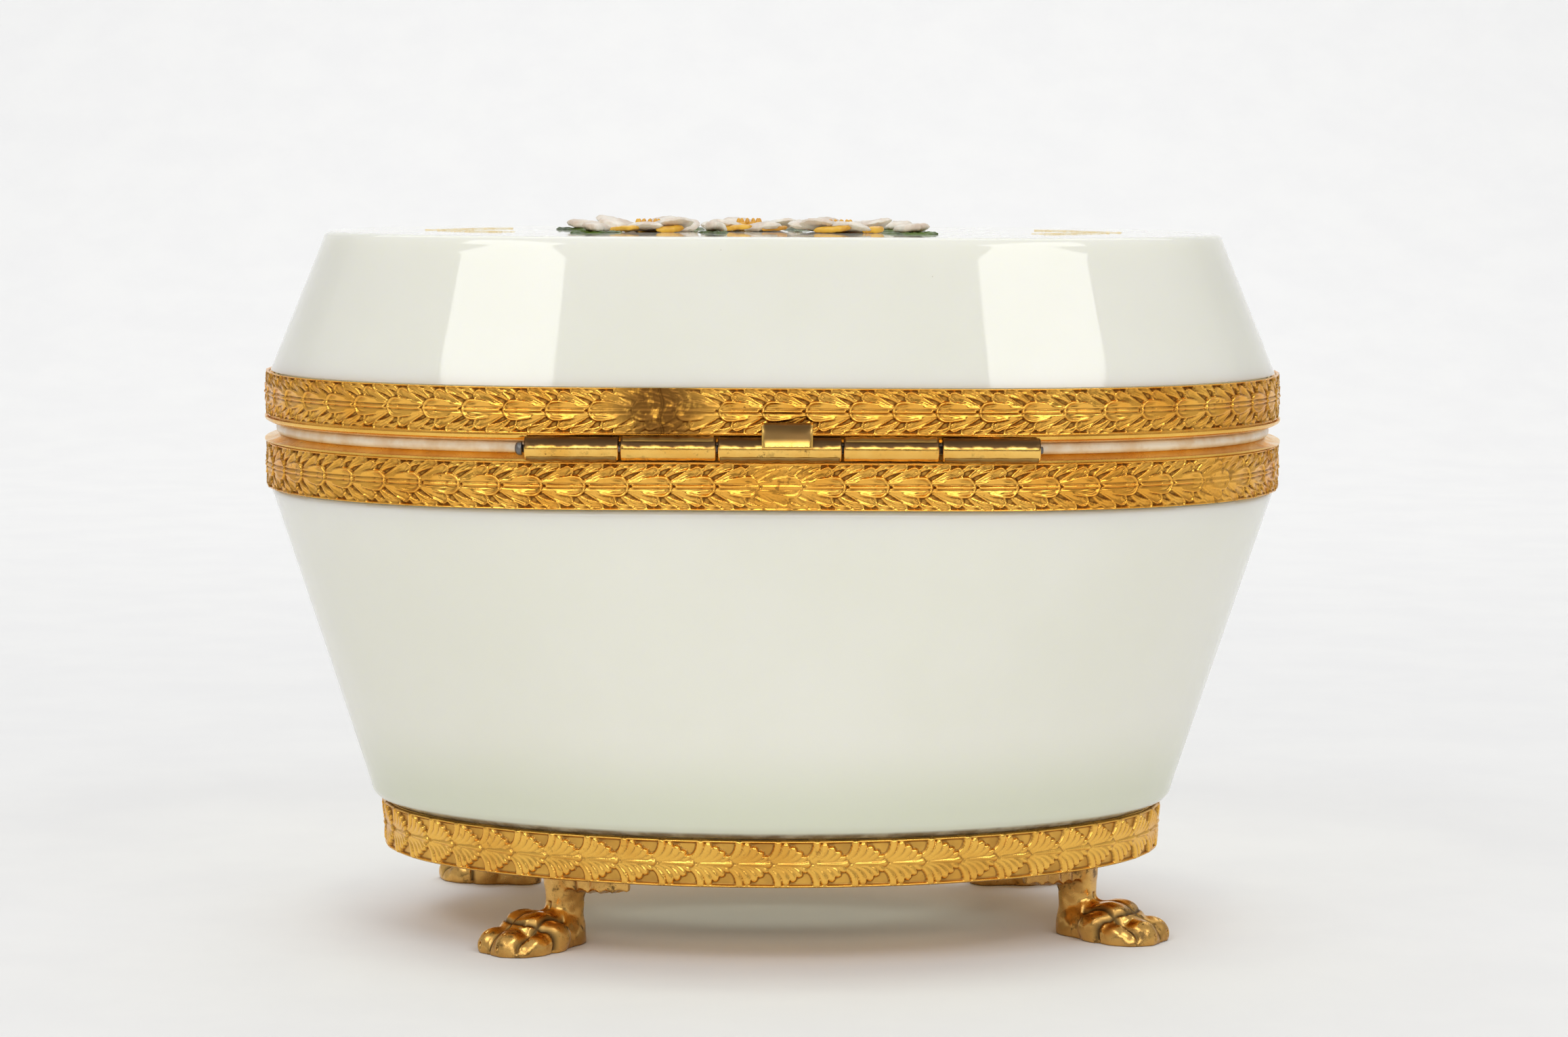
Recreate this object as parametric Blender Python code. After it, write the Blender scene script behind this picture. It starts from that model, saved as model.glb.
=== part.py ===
"""Vanity trinket box: an oval casket of opaline glass in gilt brass mounts.

The glass body and the glass lid each sit in a brass rim with an embossed leaf
gallery, the body stands on a brass base ring with four cast paw feet, and a
five-knuckle hinge joins the two rims along the back.

Frame: origin on the floor under the middle of the box, +Z up, front at -Y,
hinge at +Y.  Lengths below are in millimetres and become metres in new_part().
"""
import math

import bmesh
import bpy

MM = 0.001

# Plan outlines: half width, half depth, half length of the straight front and
# back, and the power of the superellipse that rounds the ends.
RIM_PLAN = (73.4, 46.5, 22.0, 2.2)
BASE_PLAN = (57.2, 38.0, 0.0, 2.0)
WALL_TOP_PLAN = (72.3, 45.4, 22.0, 2.2)
WALL_FOOT_PLAN = (58.6, 39.2, 0.0, 2.0)
RING_STEPS = 60                 # points round every ring
OUTLINE_SAMPLES = 1440          # fine points that an outline is measured on

# Heights above the floor
SHELF_BOTTOM = 11.3             # underside of the base ring
BASE_BAND_TOP = 18.05
GLASS_BOTTOM = 13.4
WALL_FOOT = 20.6                # where the glass wall begins to lean outwards
WALL_TOP = 63.5
BODY_BAND_BOTTOM = 64.3
BODY_BAND_TOP = 70.65
BODY_LEDGE = 72.3               # flat top of the body rim
LID_LEDGE = 72.8                # flat underside of the lid rim
LID_BAND_BOTTOM = 74.5
LID_BAND_TOP = 80.7
LID_GLASS_TOP = 100.6

# Thicknesses and clearances
GLASS = 3.6
GAP = 0.3                       # between pieces that touch
BAND = 0.5                      # embossed sheet of a gallery
GLASS_SEAT = 2.2                # ground edge of both glasses, in from the rim plan
FOOT_SEAT = 2.3                 # ground foot of the body glass, in from the base plan

# Rim channels: insets from the rim plan, and heights
BAND_SEAT = 0.8                 # face that the gallery lies on
CHANNEL_INNER = 1.35            # inside of the channel's outer wall
LEDGE_START = 2.8               # where the curved edge meets the flat ledge
SKIRT_OUTER = 6.15              # skirt on the inner side of the glass
RIM_INNER = 6.7
BODY_SKIRT_BOTTOM = 67.0
BODY_CHANNEL_TOP = 70.1
LID_SKIRT_TOP = 78.0
LID_CHANNEL_BOTTOM = 74.9
GLASS_TO_CHANNEL = 0.3          # height left between a glass edge and its channel
CEMENT = (1.6, 1.95)            # insets of the plaster bed
BODY_CEMENT = (64.9, 69.6)      # heights of the plaster beds
LID_CEMENT = (75.4, 80.2)

# Base ring
SHELF = 1.0                     # thickness of the flat shelf
SHELF_INSET = 20.0              # how far the shelf reaches in under the glass
BASE_WALL = (0.85, 1.6)         # insets of the upright wall at its top
BASE_TAPER = 0.45               # how much the base band narrows downwards

# Lid glass: how far its side leans in over its height
LID_FOOT_INSET = 1.0
LID_TOP_INSET = 8.6
LID_EDGE_RADIUS = 1.2

# Hinge
AXIS_Y = 46.7
AXIS_Z = 72.6
KNUCKLE_RADIUS = 1.6
BORE_RADIUS = 0.8
PIN_RADIUS = 0.5
PIN_HEAD_RADIUS = 0.95
RECESS_RADIUS = 1.85            # round groove cut in both rims for the knuckles
KNUCKLES = (                    # name, first x, last x, body it moves with
    ("hinge_knuckle_1", 20.45, 33.0, "body"),
    ("hinge_knuckle_2", 7.45, 20.15, "lid"),
    ("hinge_knuckle_3", -9.35, 7.15, "body"),
    ("hinge_knuckle_4", -22.35, -9.65, "lid"),
    ("hinge_knuckle_5", -35.9, -22.85, "body"),
)
PIN_ENDS = (-36.3, 33.3)
PIN_HEAD_END = 34.3
ROUND_STEPS = 16
LUG_MIDDLE_X = -2.1
LUG_WIDTH = 6.8

# Feet: leg centre x and y, heading of the toes in degrees, side of the long leaf
FEET = (
    ("foot_back_left", 29.2, 19.8, 40.0, 1.0),
    ("foot_back_right", -44.2, 11.5, 150.0, -1.0),
    ("foot_front_left", 38.4, -26.3, -27.0, 1.0),
    ("foot_front_right", -33.5, -27.2, 205.0, -1.0),
)
# Paw stations from heel to toes: place along the foot, half width, height
PAW = ((-2.9, 1.7, 4.2), (-0.6, 2.9, 6.4), (3.6, 4.0, 6.2), (8.2, 5.3, 5.6), (12.0, 4.8, 3.9),
       (13.9, 2.7, 1.9))
# Leg levels: height, place along the foot, half length, half width
LEG = ((3.0, 0.0, 2.7, 2.3), (6.2, 0.0, 2.8, 2.2), (8.4, -0.2, 3.0, 2.7), (9.8, -1.2, 4.0, 3.7),
       (11.0, -1.6, 4.6, 4.4))
# Half of the leaf bracket's outline from the leg to its inner tip, and the
# long leaf that runs out along the ring on one side
BRACKET = ((-2.0, 3.6), (-5.2, 4.4), (-7.4, 3.4), (-9.4, 2.6), (-11.0, 0.8))
LONG_LEAF = ((1.6, 3.0), (1.2, 6.0), (0.2, 9.0), (-1.2, 11.6), (-2.8, 11.8), (-3.8, 9.6),
             (-4.6, 6.8))
BRACKET_BOTTOM = 8.9
BRACKET_TOP = 10.95

# Raised enamel flowers on the lid: centre x and y, radius, first petal angle
FLOWERS = (
    ("flower_left", 18.0, 3.0, 8.2, 20.0),
    ("flower_middle", 3.6, -4.6, 7.6, 50.0),
    ("flower_right", -9.6, 3.6, 8.0, -10.0),
)
PETALS = 5
FLOWER_LIFT = 2.4               # petal tips above the lid
CUP_RADIUS = 2.3
LEAVES = (                      # centre x and y, heading in degrees, length
    ("leaf_1", 27.6, -6.2, -25.0, 9.5),
    ("leaf_2", 25.0, 13.2, 38.0, 9.0),
    ("leaf_3", 8.4, 9.6, 100.0, 9.0),
    ("leaf_4", -3.6, -14.4, -100.0, 9.0),
    ("leaf_5", -18.0, -6.6, 205.0, 9.5),
    ("leaf_6", -19.4, 12.6, 150.0, 9.0),
    ("leaf_7", 12.6, -13.8, -70.0, 8.5),
)
SPRAY_INNER = 30.0              # flat painted sprays at both ends of the lid
SPRAY_OUTER = 50.0
SPRAY_HALF_DEPTH = 15.0
SPRAY_THICKNESS = 0.3
LID_ORIGIN = (0.0, AXIS_Y, AXIS_Z)      # the lid turns about this line

# Colours, roughness and metallic value of each finish
FINISHES = {
    "opaline": ((0.80, 0.84, 0.76, 1.0), 0.06, 0.0),
    "gilt_brass": ((0.83, 0.56, 0.19, 1.0), 0.27, 1.0),
    "gallery_brass": ((0.80, 0.50, 0.16, 1.0), 0.33, 1.0),
    "foot_bronze": ((0.55, 0.34, 0.11, 1.0), 0.36, 1.0),
    "hinge_brass": ((0.72, 0.50, 0.20, 1.0), 0.25, 1.0),
    "pin_steel": ((0.30, 0.29, 0.28, 1.0), 0.40, 1.0),
    "plaster": ((0.74, 0.68, 0.52, 1.0), 0.90, 0.0),
    "white_enamel": ((0.80, 0.75, 0.68, 1.0), 0.60, 0.0),
    "yellow_enamel": ((0.86, 0.52, 0.06, 1.0), 0.50, 0.0),
    "green_enamel": ((0.06, 0.14, 0.02, 1.0), 0.45, 0.0),
    "gold_paint": ((0.78, 0.66, 0.42, 1.0), 0.45, 0.3),
}


def clear_scene():
    for item in list(bpy.data.objects):
        bpy.data.objects.remove(item, do_unlink=True)


def finish(name, kind):
    """A material of its own for one part."""
    colour, roughness, metallic = FINISHES[kind]
    material = bpy.data.materials.new(name + "_finish")
    material.use_nodes = True
    shader = material.node_tree.nodes["Principled BSDF"]
    shader.inputs["Base Color"].default_value = colour
    shader.inputs["Roughness"].default_value = roughness
    shader.inputs["Metallic"].default_value = metallic
    return material


def new_part(name, bm, kind, origin=(0.0, 0.0, 0.0), parent=None, sharp=35.0):
    """Turn a bmesh in millimetres into an object with its origin at origin."""
    bmesh.ops.recalc_face_normals(bm, faces=bm.faces)
    shift = [-c for c in origin]
    bmesh.ops.translate(bm, verts=bm.verts, vec=shift)
    bmesh.ops.scale(bm, verts=bm.verts, vec=(MM, MM, MM))
    mesh = bpy.data.meshes.new(name)
    bm.to_mesh(mesh)
    bm.free()
    mesh.shade_smooth()
    mesh.set_sharp_from_angle(angle=math.radians(sharp))
    part = bpy.data.objects.new(name, mesh)
    bpy.context.collection.objects.link(part)
    part.data.materials.append(finish(name, kind))
    part.location = [c * MM for c in origin]
    if parent is not None:
        part.parent = parent
        part.location = [c * MM - p for c, p in zip(origin, parent.location)]
    return part


# ---------------------------------------------------------------- outlines

def end_curve(plan, t):
    """Point of the plan at parameter t, 0 at +X and counted round the box."""
    half_width, half_depth, straight, power = plan
    c, s = math.cos(t), math.sin(t)
    x = straight + (half_width - straight) * abs(c) ** (2.0 / power)
    y = half_depth * abs(s) ** (2.0 / power)
    return (math.copysign(x, c), math.copysign(y, s))


def fine_outline(plan):
    """The whole plan as a dense closed list of points, from +X round to +Y."""
    return [end_curve(plan, 2.0 * math.pi * (i + 0.5) / OUTLINE_SAMPLES)
            for i in range(OUTLINE_SAMPLES)]


def outline(plan, inset=0.0, steps=RING_STEPS):
    """Evenly spaced points of the plan, moved inwards by inset."""
    fine = fine_outline(plan)
    count = len(fine)
    lengths = [0.0]
    for i in range(count):
        a, b = fine[i], fine[(i + 1) % count]
        lengths.append(lengths[-1] + math.dist(a, b))
    total = lengths[-1]
    points = []
    k = 0
    for step in range(steps):
        # half a step off, so that the points are mirror images left and right
        target = total * (step + 0.5) / steps
        while lengths[k + 1] < target:
            k += 1
        a, b = fine[k], fine[(k + 1) % count]
        share = (target - lengths[k]) / (lengths[k + 1] - lengths[k])
        x = a[0] + (b[0] - a[0]) * share
        y = a[1] + (b[1] - a[1]) * share
        before, after = fine[k - 2], fine[(k + 3) % count]
        dx, dy = after[0] - before[0], after[1] - before[1]
        size = math.hypot(dx, dy)
        points.append((x - inset * dy / size, y + inset * dx / size))
    return points


def mixed_plan(low, high, share):
    return tuple(a + (b - a) * share for a, b in zip(low, high))


def wall_plan(z):
    """Plan of the leaning glass wall at height z."""
    return mixed_plan(WALL_FOOT_PLAN, WALL_TOP_PLAN, (z - WALL_FOOT) / (WALL_TOP - WALL_FOOT))


# ---------------------------------------------------------------- mesh makers

def add_loop(bm, points, z):
    return [bm.verts.new((x, y, z)) for x, y in points]


def bridge(bm, first, second):
    count = len(first)
    for i in range(count):
        j = (i + 1) % count
        bm.faces.new((first[i], first[j], second[j], second[i]))


def stack(bm, loops):
    """Join loops of equal length into one closed skin."""
    for first, second in zip(loops, loops[1:]):
        bridge(bm, first, second)
    bm.faces.new(loops[0])
    bm.faces.new(loops[-1])


def swept_ring(plan, profile):
    """A ring: a closed profile of (inset, z) carried round the plan."""
    bm = bmesh.new()
    loops = [add_loop(bm, outline(plan, inset), z) for inset, z in profile]
    for first, second in zip(loops, loops[1:] + loops[:1]):
        bridge(bm, first, second)
    return bm


def lofted_shell(sections):
    """A closed body through sections of (plan, inset, z), capped at both ends."""
    bm = bmesh.new()
    loops = [add_loop(bm, outline(plan, inset), z) for plan, inset, z in sections]
    stack(bm, loops)
    return bm


def prism_along_x(profile, x_first, x_last):
    """A profile of (y, z) points extruded along X."""
    bm = bmesh.new()
    ends = [[bm.verts.new((x, y, z)) for y, z in profile] for x in (x_first, x_last)]
    bridge(bm, ends[0], ends[1])
    bm.faces.new(ends[0])
    bm.faces.new(ends[1])
    return bm


def circle(radius, steps=ROUND_STEPS, centre=(0.0, 0.0)):
    return [(centre[0] + radius * math.cos(2.0 * math.pi * i / steps),
             centre[1] + radius * math.sin(2.0 * math.pi * i / steps)) for i in range(steps)]


def turned_along_x(stations, centre):
    """Round bar along X: stations of (x, radius), closed by its two ends."""
    bm = bmesh.new()
    loops = []
    for x, radius in stations:
        loops.append([bm.verts.new((x, y, z)) for y, z in circle(radius, 12, centre)])
    stack(bm, loops)
    return bm


# ---------------------------------------------------------------- glass

def body_glass():
    edge = BODY_CHANNEL_TOP - GLASS_TO_CHANNEL
    sections = [(BASE_PLAN, 4.6, GLASS_BOTTOM), (BASE_PLAN, 3.2, GLASS_BOTTOM + 0.5),
                (BASE_PLAN, FOOT_SEAT, GLASS_BOTTOM + 1.6),
                (BASE_PLAN, FOOT_SEAT, BASE_BAND_TOP),
                (WALL_FOOT_PLAN, 1.3, BASE_BAND_TOP + 0.8),
                (WALL_FOOT_PLAN, 0.4, BASE_BAND_TOP + 1.5)]
    for z in (WALL_FOOT, 42.0, WALL_TOP):
        sections.append((wall_plan(z), 0.0, z))
    sections += [(RIM_PLAN, GLASS_SEAT, BODY_BAND_BOTTOM - 0.2), (RIM_PLAN, GLASS_SEAT, edge),
                 (RIM_PLAN, GLASS_SEAT + GLASS, edge)]
    for z in (WALL_TOP, 42.0, WALL_FOOT + 2.4):
        sections.append((wall_plan(z), GLASS + 0.2, z))
    sections += [(WALL_FOOT_PLAN, GLASS + 2.0, WALL_FOOT - 1.0),
                 (WALL_FOOT_PLAN, GLASS + 5.0, GLASS_BOTTOM + GLASS + 0.6)]
    return new_part("body_glass", lofted_shell(sections), "opaline")


def lid_side_inset(z):
    """How far the outer face of the lid glass leans in at height z."""
    foot = LID_BAND_TOP + 0.1
    top = LID_GLASS_TOP - LID_EDGE_RADIUS
    return LID_FOOT_INSET + (LID_TOP_INSET - LID_FOOT_INSET) * (z - foot) / (top - foot)


def lid_glass(parent):
    edge = LID_CHANNEL_BOTTOM + GLASS_TO_CHANNEL
    foot = LID_BAND_TOP + 0.1
    side_top = LID_GLASS_TOP - LID_EDGE_RADIUS
    wall = GLASS + 0.4          # measured level, across the leaning wall
    sections = [(RIM_PLAN, GLASS_SEAT, edge), (RIM_PLAN, GLASS_SEAT, LID_BAND_TOP - 0.1),
                (RIM_PLAN, LID_FOOT_INSET, foot), (RIM_PLAN, lid_side_inset(90.0), 90.0),
                (RIM_PLAN, LID_TOP_INSET, side_top),
                (RIM_PLAN, LID_TOP_INSET + 0.5, LID_GLASS_TOP - 0.35),
                (RIM_PLAN, LID_TOP_INSET + LID_EDGE_RADIUS + 0.4, LID_GLASS_TOP)]
    inner = [(RIM_PLAN, GLASS_SEAT + GLASS, edge), (RIM_PLAN, GLASS_SEAT + GLASS, edge + 4.8),
             (RIM_PLAN, lid_side_inset(90.0) + wall, 90.0),
             (RIM_PLAN, lid_side_inset(95.0) + wall + 0.4, 95.0),
             (RIM_PLAN, LID_TOP_INSET + wall + 2.4, LID_GLASS_TOP - GLASS)]
    bm = lofted_shell(list(reversed(sections)) + inner)
    return new_part("lid_glass", bm, "opaline", LID_ORIGIN, parent)


# ---------------------------------------------------------------- rims

def cut_hinge_recess(bm, name, kind, parent=None):
    """Make the rim and cut the round groove that the knuckles lie in."""
    origin = LID_ORIGIN if parent is not None else (0.0, 0.0, 0.0)
    rim = new_part(name, bm, kind, origin, parent)
    cutter_bm = turned_along_x([(PIN_ENDS[0] - 0.5, RECESS_RADIUS),
                                (PIN_HEAD_END + 0.5, RECESS_RADIUS)], (AXIS_Y, AXIS_Z))
    cutter = new_part(name + "_groove_cutter", cutter_bm, kind)
    cutter.hide_render = True
    cutter.display_type = "WIRE"
    cut = rim.modifiers.new("hinge_groove", "BOOLEAN")
    cut.operation = "DIFFERENCE"
    cut.solver = "EXACT"
    cut.object = cutter
    return rim


def body_rim():
    """Channel over the glass edge, with a hollow-curved ledge on top."""
    profile = [(BAND_SEAT, BODY_BAND_BOTTOM + 0.3), (BAND_SEAT, BODY_BAND_TOP + 0.2),
               (0.1, BODY_BAND_TOP + 0.2), (0.1, BODY_BAND_TOP + 0.45),
               (1.0, BODY_LEDGE - 1.1), (2.1, BODY_LEDGE - 0.75), (LEDGE_START, BODY_LEDGE),
               (RIM_INNER, BODY_LEDGE), (RIM_INNER, BODY_SKIRT_BOTTOM),
               (SKIRT_OUTER, BODY_SKIRT_BOTTOM), (SKIRT_OUTER, BODY_CHANNEL_TOP),
               (CHANNEL_INNER, BODY_CHANNEL_TOP), (CHANNEL_INNER, BODY_BAND_BOTTOM + 0.3)]
    cut_hinge_recess(swept_ring(RIM_PLAN, profile), "body_rim_frame", "gilt_brass")


def lid_rim(parent):
    """Channel under the glass edge, with a rounded lip below."""
    profile = [(BAND_SEAT, LID_BAND_TOP - 0.2), (BAND_SEAT, LID_BAND_BOTTOM - 0.2),
               (0.1, LID_BAND_BOTTOM - 0.2), (0.1, LID_BAND_BOTTOM - 0.45),
               (0.6, LID_LEDGE + 0.7), (1.6, LID_LEDGE + 0.3), (LEDGE_START, LID_LEDGE),
               (RIM_INNER, LID_LEDGE), (RIM_INNER, LID_SKIRT_TOP),
               (SKIRT_OUTER, LID_SKIRT_TOP), (SKIRT_OUTER, LID_CHANNEL_BOTTOM),
               (CHANNEL_INNER, LID_CHANNEL_BOTTOM), (CHANNEL_INNER, LID_BAND_TOP - 0.2)]
    cut_hinge_recess(swept_ring(RIM_PLAN, profile), "lid_rim_frame", "gilt_brass", parent)


def gallery(name, plan, low, high, taper=0.0, parent=None):
    """The thin embossed sheet round a rim, here as a plain band."""
    profile = [(0.0, high), (taper, low), (taper + BAND, low), (BAND, high)]
    origin = LID_ORIGIN if parent is not None else (0.0, 0.0, 0.0)
    return new_part(name, swept_ring(plan, profile), "gallery_brass", origin, parent)


def cement_bed(name, heights, parent=None):
    """Plaster between a rim channel and the glass edge in it."""
    low, high = heights
    profile = [(CEMENT[0], high), (CEMENT[0], low), (CEMENT[1], low), (CEMENT[1], high)]
    origin = LID_ORIGIN if parent is not None else (0.0, 0.0, 0.0)
    return new_part(name, swept_ring(RIM_PLAN, profile), "plaster", origin, parent)


# ---------------------------------------------------------------- base

def base_ring():
    """Angle ring: an upright wall behind the gallery and a wide flat shelf."""
    outer, inner = BASE_WALL
    wall_top = BASE_BAND_TOP - 0.05
    shelf_top = SHELF_BOTTOM + SHELF
    profile = [(outer, wall_top), (outer + BASE_TAPER, SHELF_BOTTOM),
               (SHELF_INSET, SHELF_BOTTOM), (SHELF_INSET, shelf_top),
               (inner + 0.5, shelf_top), (inner, wall_top)]
    new_part("base_ring_frame", swept_ring(BASE_PLAN, profile), "gilt_brass")
    gallery("base_gallery", BASE_PLAN, SHELF_BOTTOM, BASE_BAND_TOP, BASE_TAPER)
    low, high = shelf_top + GAP, GLASS_BOTTOM - GAP
    bed = [(5.0, high), (5.0, low), (16.0, low), (16.0, high)]
    new_part("base_cement", swept_ring(BASE_PLAN, bed), "plaster")


def paw_foot(name, x, y, heading, side):
    """One casting: a leaf bracket under the ring, a leg, and a four-toed paw."""
    bm = bmesh.new()
    loops = []
    for along, half, high in PAW:
        section = [(-half, 0.0), (half, 0.0), (half, high * 0.62), (half * 0.55, high),
                   (-half * 0.55, high), (-half, high * 0.62)]
        loops.append([bm.verts.new((along, across, z)) for across, z in section])
    stack(bm, loops)
    paw = new_part(name, bm, "foot_bronze")
    join_solid(paw, foot_leg(name))
    join_solid(paw, foot_bracket(name, side))
    paw.location = (x * MM, y * MM, 0.0)
    paw.rotation_euler = (0.0, 0.0, math.radians(heading))


def foot_leg(name):
    """Round leg that widens under the base ring."""
    bm = bmesh.new()
    loops = []
    for z, along, half_long, half_wide in LEG:
        ring = [(along + half_long * a, half_wide * b) for a, b in circle(1.0, 12)]
        loops.append(add_loop(bm, ring, z))
    stack(bm, loops)
    return new_part(name + "_leg", bm, "foot_bronze")


def foot_bracket(name, side):
    """Flat leaves that carry the leg under the shelf."""
    leaf_outline = list(LONG_LEAF + BRACKET[1:]) + [(u, -v) for u, v in reversed(BRACKET)]
    leaf_outline = [(u, side * v) for u, v in leaf_outline]
    bm = bmesh.new()
    low = add_loop(bm, [(u, v * 0.86) for u, v in leaf_outline], BRACKET_BOTTOM)
    high = add_loop(bm, leaf_outline, BRACKET_TOP)
    stack(bm, [low, high])
    return new_part(name + "_bracket", bm, "foot_bronze")


def join_solid(target, other):
    """Boolean union of another solid into target."""
    other.hide_render = True
    other.display_type = "WIRE"
    other.parent = target
    join = target.modifiers.new(other.name, "BOOLEAN")
    join.operation = "UNION"
    join.solver = "EXACT"
    join.object = other


# ---------------------------------------------------------------- hinge

def knuckle(name, first, last, parent=None):
    """A tube on the hinge line."""
    centre = (AXIS_Y, AXIS_Z)
    bm = bmesh.new()
    rings = []
    for x, radius in ((first, BORE_RADIUS), (first, KNUCKLE_RADIUS),
                      (last, KNUCKLE_RADIUS), (last, BORE_RADIUS)):
        rings.append([bm.verts.new((x, y, z)) for y, z in circle(radius, ROUND_STEPS, centre)])
    for a, b in zip(rings, rings[1:] + rings[:1]):
        bridge(bm, a, b)
    origin = LID_ORIGIN if parent is not None else (0.0, 0.0, 0.0)
    return new_part(name, bm, "hinge_brass", origin, parent)


def hinge_pin():
    first, last = PIN_ENDS
    stations = [(first, PIN_RADIUS), (last, PIN_RADIUS), (last, PIN_HEAD_RADIUS),
                (PIN_HEAD_END - 0.2, PIN_HEAD_RADIUS), (PIN_HEAD_END, 0.6)]
    return new_part("hinge_pin", turned_along_x(stations, (AXIS_Y, AXIS_Z)), "pin_steel")


def stop_lug(parent):
    """Curved tab on the lid that meets the body rim when the lid is open."""
    inner = []
    for degrees in (5.0, 25.0, 45.0, 65.0, 80.0):
        angle = math.radians(degrees)
        inner.append((1.9 * math.cos(angle), 1.9 * math.sin(angle)))
    outer = [(0.1, 2.0), (0.1, 3.5), (0.5, 3.55), (1.15, 3.2), (1.75, 2.5), (2.15, 1.6),
             (2.35, 0.8), (2.4, 0.166)]
    profile = [(AXIS_Y + y, AXIS_Z + z) for y, z in inner + outer]
    bm = prism_along_x(profile, LUG_MIDDLE_X - LUG_WIDTH / 2, LUG_MIDDLE_X + LUG_WIDTH / 2)
    return new_part("lid_stop_lug", bm, "hinge_brass", LID_ORIGIN, parent)


def thumb_tab(parent):
    """Small shell-shaped thumb piece at the front of the lid rim."""
    front = -RIM_PLAN[1] - GAP
    rows = [  # z, front y, thickness, half width
        (79.4, front - 0.9, 0.9, 1.6), (78.0, front - 1.2, 1.2, 3.4),
        (76.4, front - 1.0, 1.0, 5.0), (75.0, front - 1.1, 0.9, 5.6),
        (74.0, front - 1.75, 1.1, 5.0), (73.4, -49.1, 0.8, 2.6)]
    bm = bmesh.new()
    loops = []
    for z, y, thick, half in rows:
        shape = [(-half, y + thick), (-half * 0.55, y), (0.0, y), (half * 0.55, y),
                 (half, y + thick), (0.0, y + thick)]
        loops.append([bm.verts.new((px, py, z)) for px, py in shape])
    stack(bm, loops)
    return new_part("thumb_tab", bm, "gilt_brass", LID_ORIGIN, parent)


# ---------------------------------------------------------------- lid flowers

def flower(name, x, y, radius, first_angle, parent):
    """A raised five-petalled disc with its petal tips turned up."""
    base = LID_GLASS_TOP + GAP
    steps = PETALS * 6
    bm = bmesh.new()

    def ring(share, z):
        points = []
        for i in range(steps):
            angle = 2.0 * math.pi * i / steps
            lobe = 0.74 + 0.26 * abs(math.cos(angle * PETALS / 2.0)) ** 0.6
            turn = angle + math.radians(first_angle)
            points.append((x + radius * share * lobe * math.cos(turn),
                           y + radius * share * lobe * math.sin(turn)))
        return add_loop(bm, points, z)

    loops = [ring(0.35, base), ring(0.92, base + 0.25), ring(1.0, LID_GLASS_TOP + FLOWER_LIFT),
             ring(0.7, LID_GLASS_TOP + FLOWER_LIFT - 0.3), ring(0.35, base + 0.8)]
    stack(bm, loops)
    new_part(name, bm, "white_enamel", LID_ORIGIN, parent)
    cup = bmesh.new()
    low = base + 0.8 + GAP
    levels = [(1.4, low), (CUP_RADIUS, low + 0.5), (CUP_RADIUS, low + 1.0), (1.5, low + 1.3)]
    rings = [add_loop(cup, circle(r, 10, (x, y)), z) for r, z in levels]
    stack(cup, rings)
    new_part(name + "_cup", cup, "yellow_enamel", LID_ORIGIN, parent)


def leaf(name, x, y, heading, length, parent):
    """A thick pointed leaf lying on the lid."""
    base = LID_GLASS_TOP + GAP
    turn = math.radians(heading)
    shape = []
    for i in range(12):
        angle = 2.0 * math.pi * i / 12
        u = math.cos(angle) * length / 2.0
        v = math.sin(angle) * abs(math.sin(angle)) ** 0.35 * length * 0.22
        shape.append((u, v))
    bm = bmesh.new()

    def ring(share, z):
        return add_loop(bm, [(x + (u * math.cos(turn) - v * math.sin(turn)) * share,
                              y + (u * math.sin(turn) + v * math.cos(turn)) * share)
                             for u, v in shape], z)

    loops = [ring(0.9, base), ring(1.0, base + 0.4), ring(0.5, base + 0.8)]
    stack(bm, loops)
    new_part(name, bm, "green_enamel", LID_ORIGIN, parent)


def spray(name, side, parent):
    """Flat painted garland at one end of the lid top, as a thin crescent."""
    base = LID_GLASS_TOP + GAP
    count = 9
    outer, inner = [], []
    for i in range(count):
        angle = math.radians(-70.0 + 140.0 * i / (count - 1))
        outer.append((side * (SPRAY_INNER + (SPRAY_OUTER - SPRAY_INNER) * math.cos(angle)),
                      SPRAY_HALF_DEPTH * math.sin(angle)))
        inner.append((side * (SPRAY_INNER + 7.0 * math.cos(angle)),
                      SPRAY_HALF_DEPTH * 0.8 * math.sin(angle)))
    points = outer + list(reversed(inner))
    bm = bmesh.new()
    low = add_loop(bm, points, base)
    high = add_loop(bm, points, base + SPRAY_THICKNESS)
    bridge(bm, low, high)
    bm.faces.new(low)
    bm.faces.new(high)
    new_part(name, bm, "gold_paint", LID_ORIGIN, parent)


# ---------------------------------------------------------------- assembly

def main():
    clear_scene()
    lid = bpy.data.objects.new("lid_pivot", None)
    lid.location = [c * MM for c in LID_ORIGIN]
    bpy.context.collection.objects.link(lid)

    body_glass()
    body_rim()
    gallery("body_rim_gallery", RIM_PLAN, BODY_BAND_BOTTOM, BODY_BAND_TOP)
    cement_bed("body_rim_cement", BODY_CEMENT)
    base_ring()
    for foot in FEET:
        paw_foot(*foot)

    lid_glass(lid)
    lid_rim(lid)
    gallery("lid_rim_gallery", RIM_PLAN, LID_BAND_BOTTOM, LID_BAND_TOP, parent=lid)
    cement_bed("lid_rim_cement", LID_CEMENT, parent=lid)
    thumb_tab(lid)
    stop_lug(lid)
    for name, first, last, owner in KNUCKLES:
        knuckle(name, first, last, lid if owner == "lid" else None)
    hinge_pin()

    for name, x, y, radius, angle in FLOWERS:
        flower(name, x, y, radius, angle, lid)
    for name, x, y, heading, length in LEAVES:
        leaf(name, x, y, heading, length, lid)
    spray("enamel_spray_left", 1.0, lid)
    spray("enamel_spray_right", -1.0, lid)


main()
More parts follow.
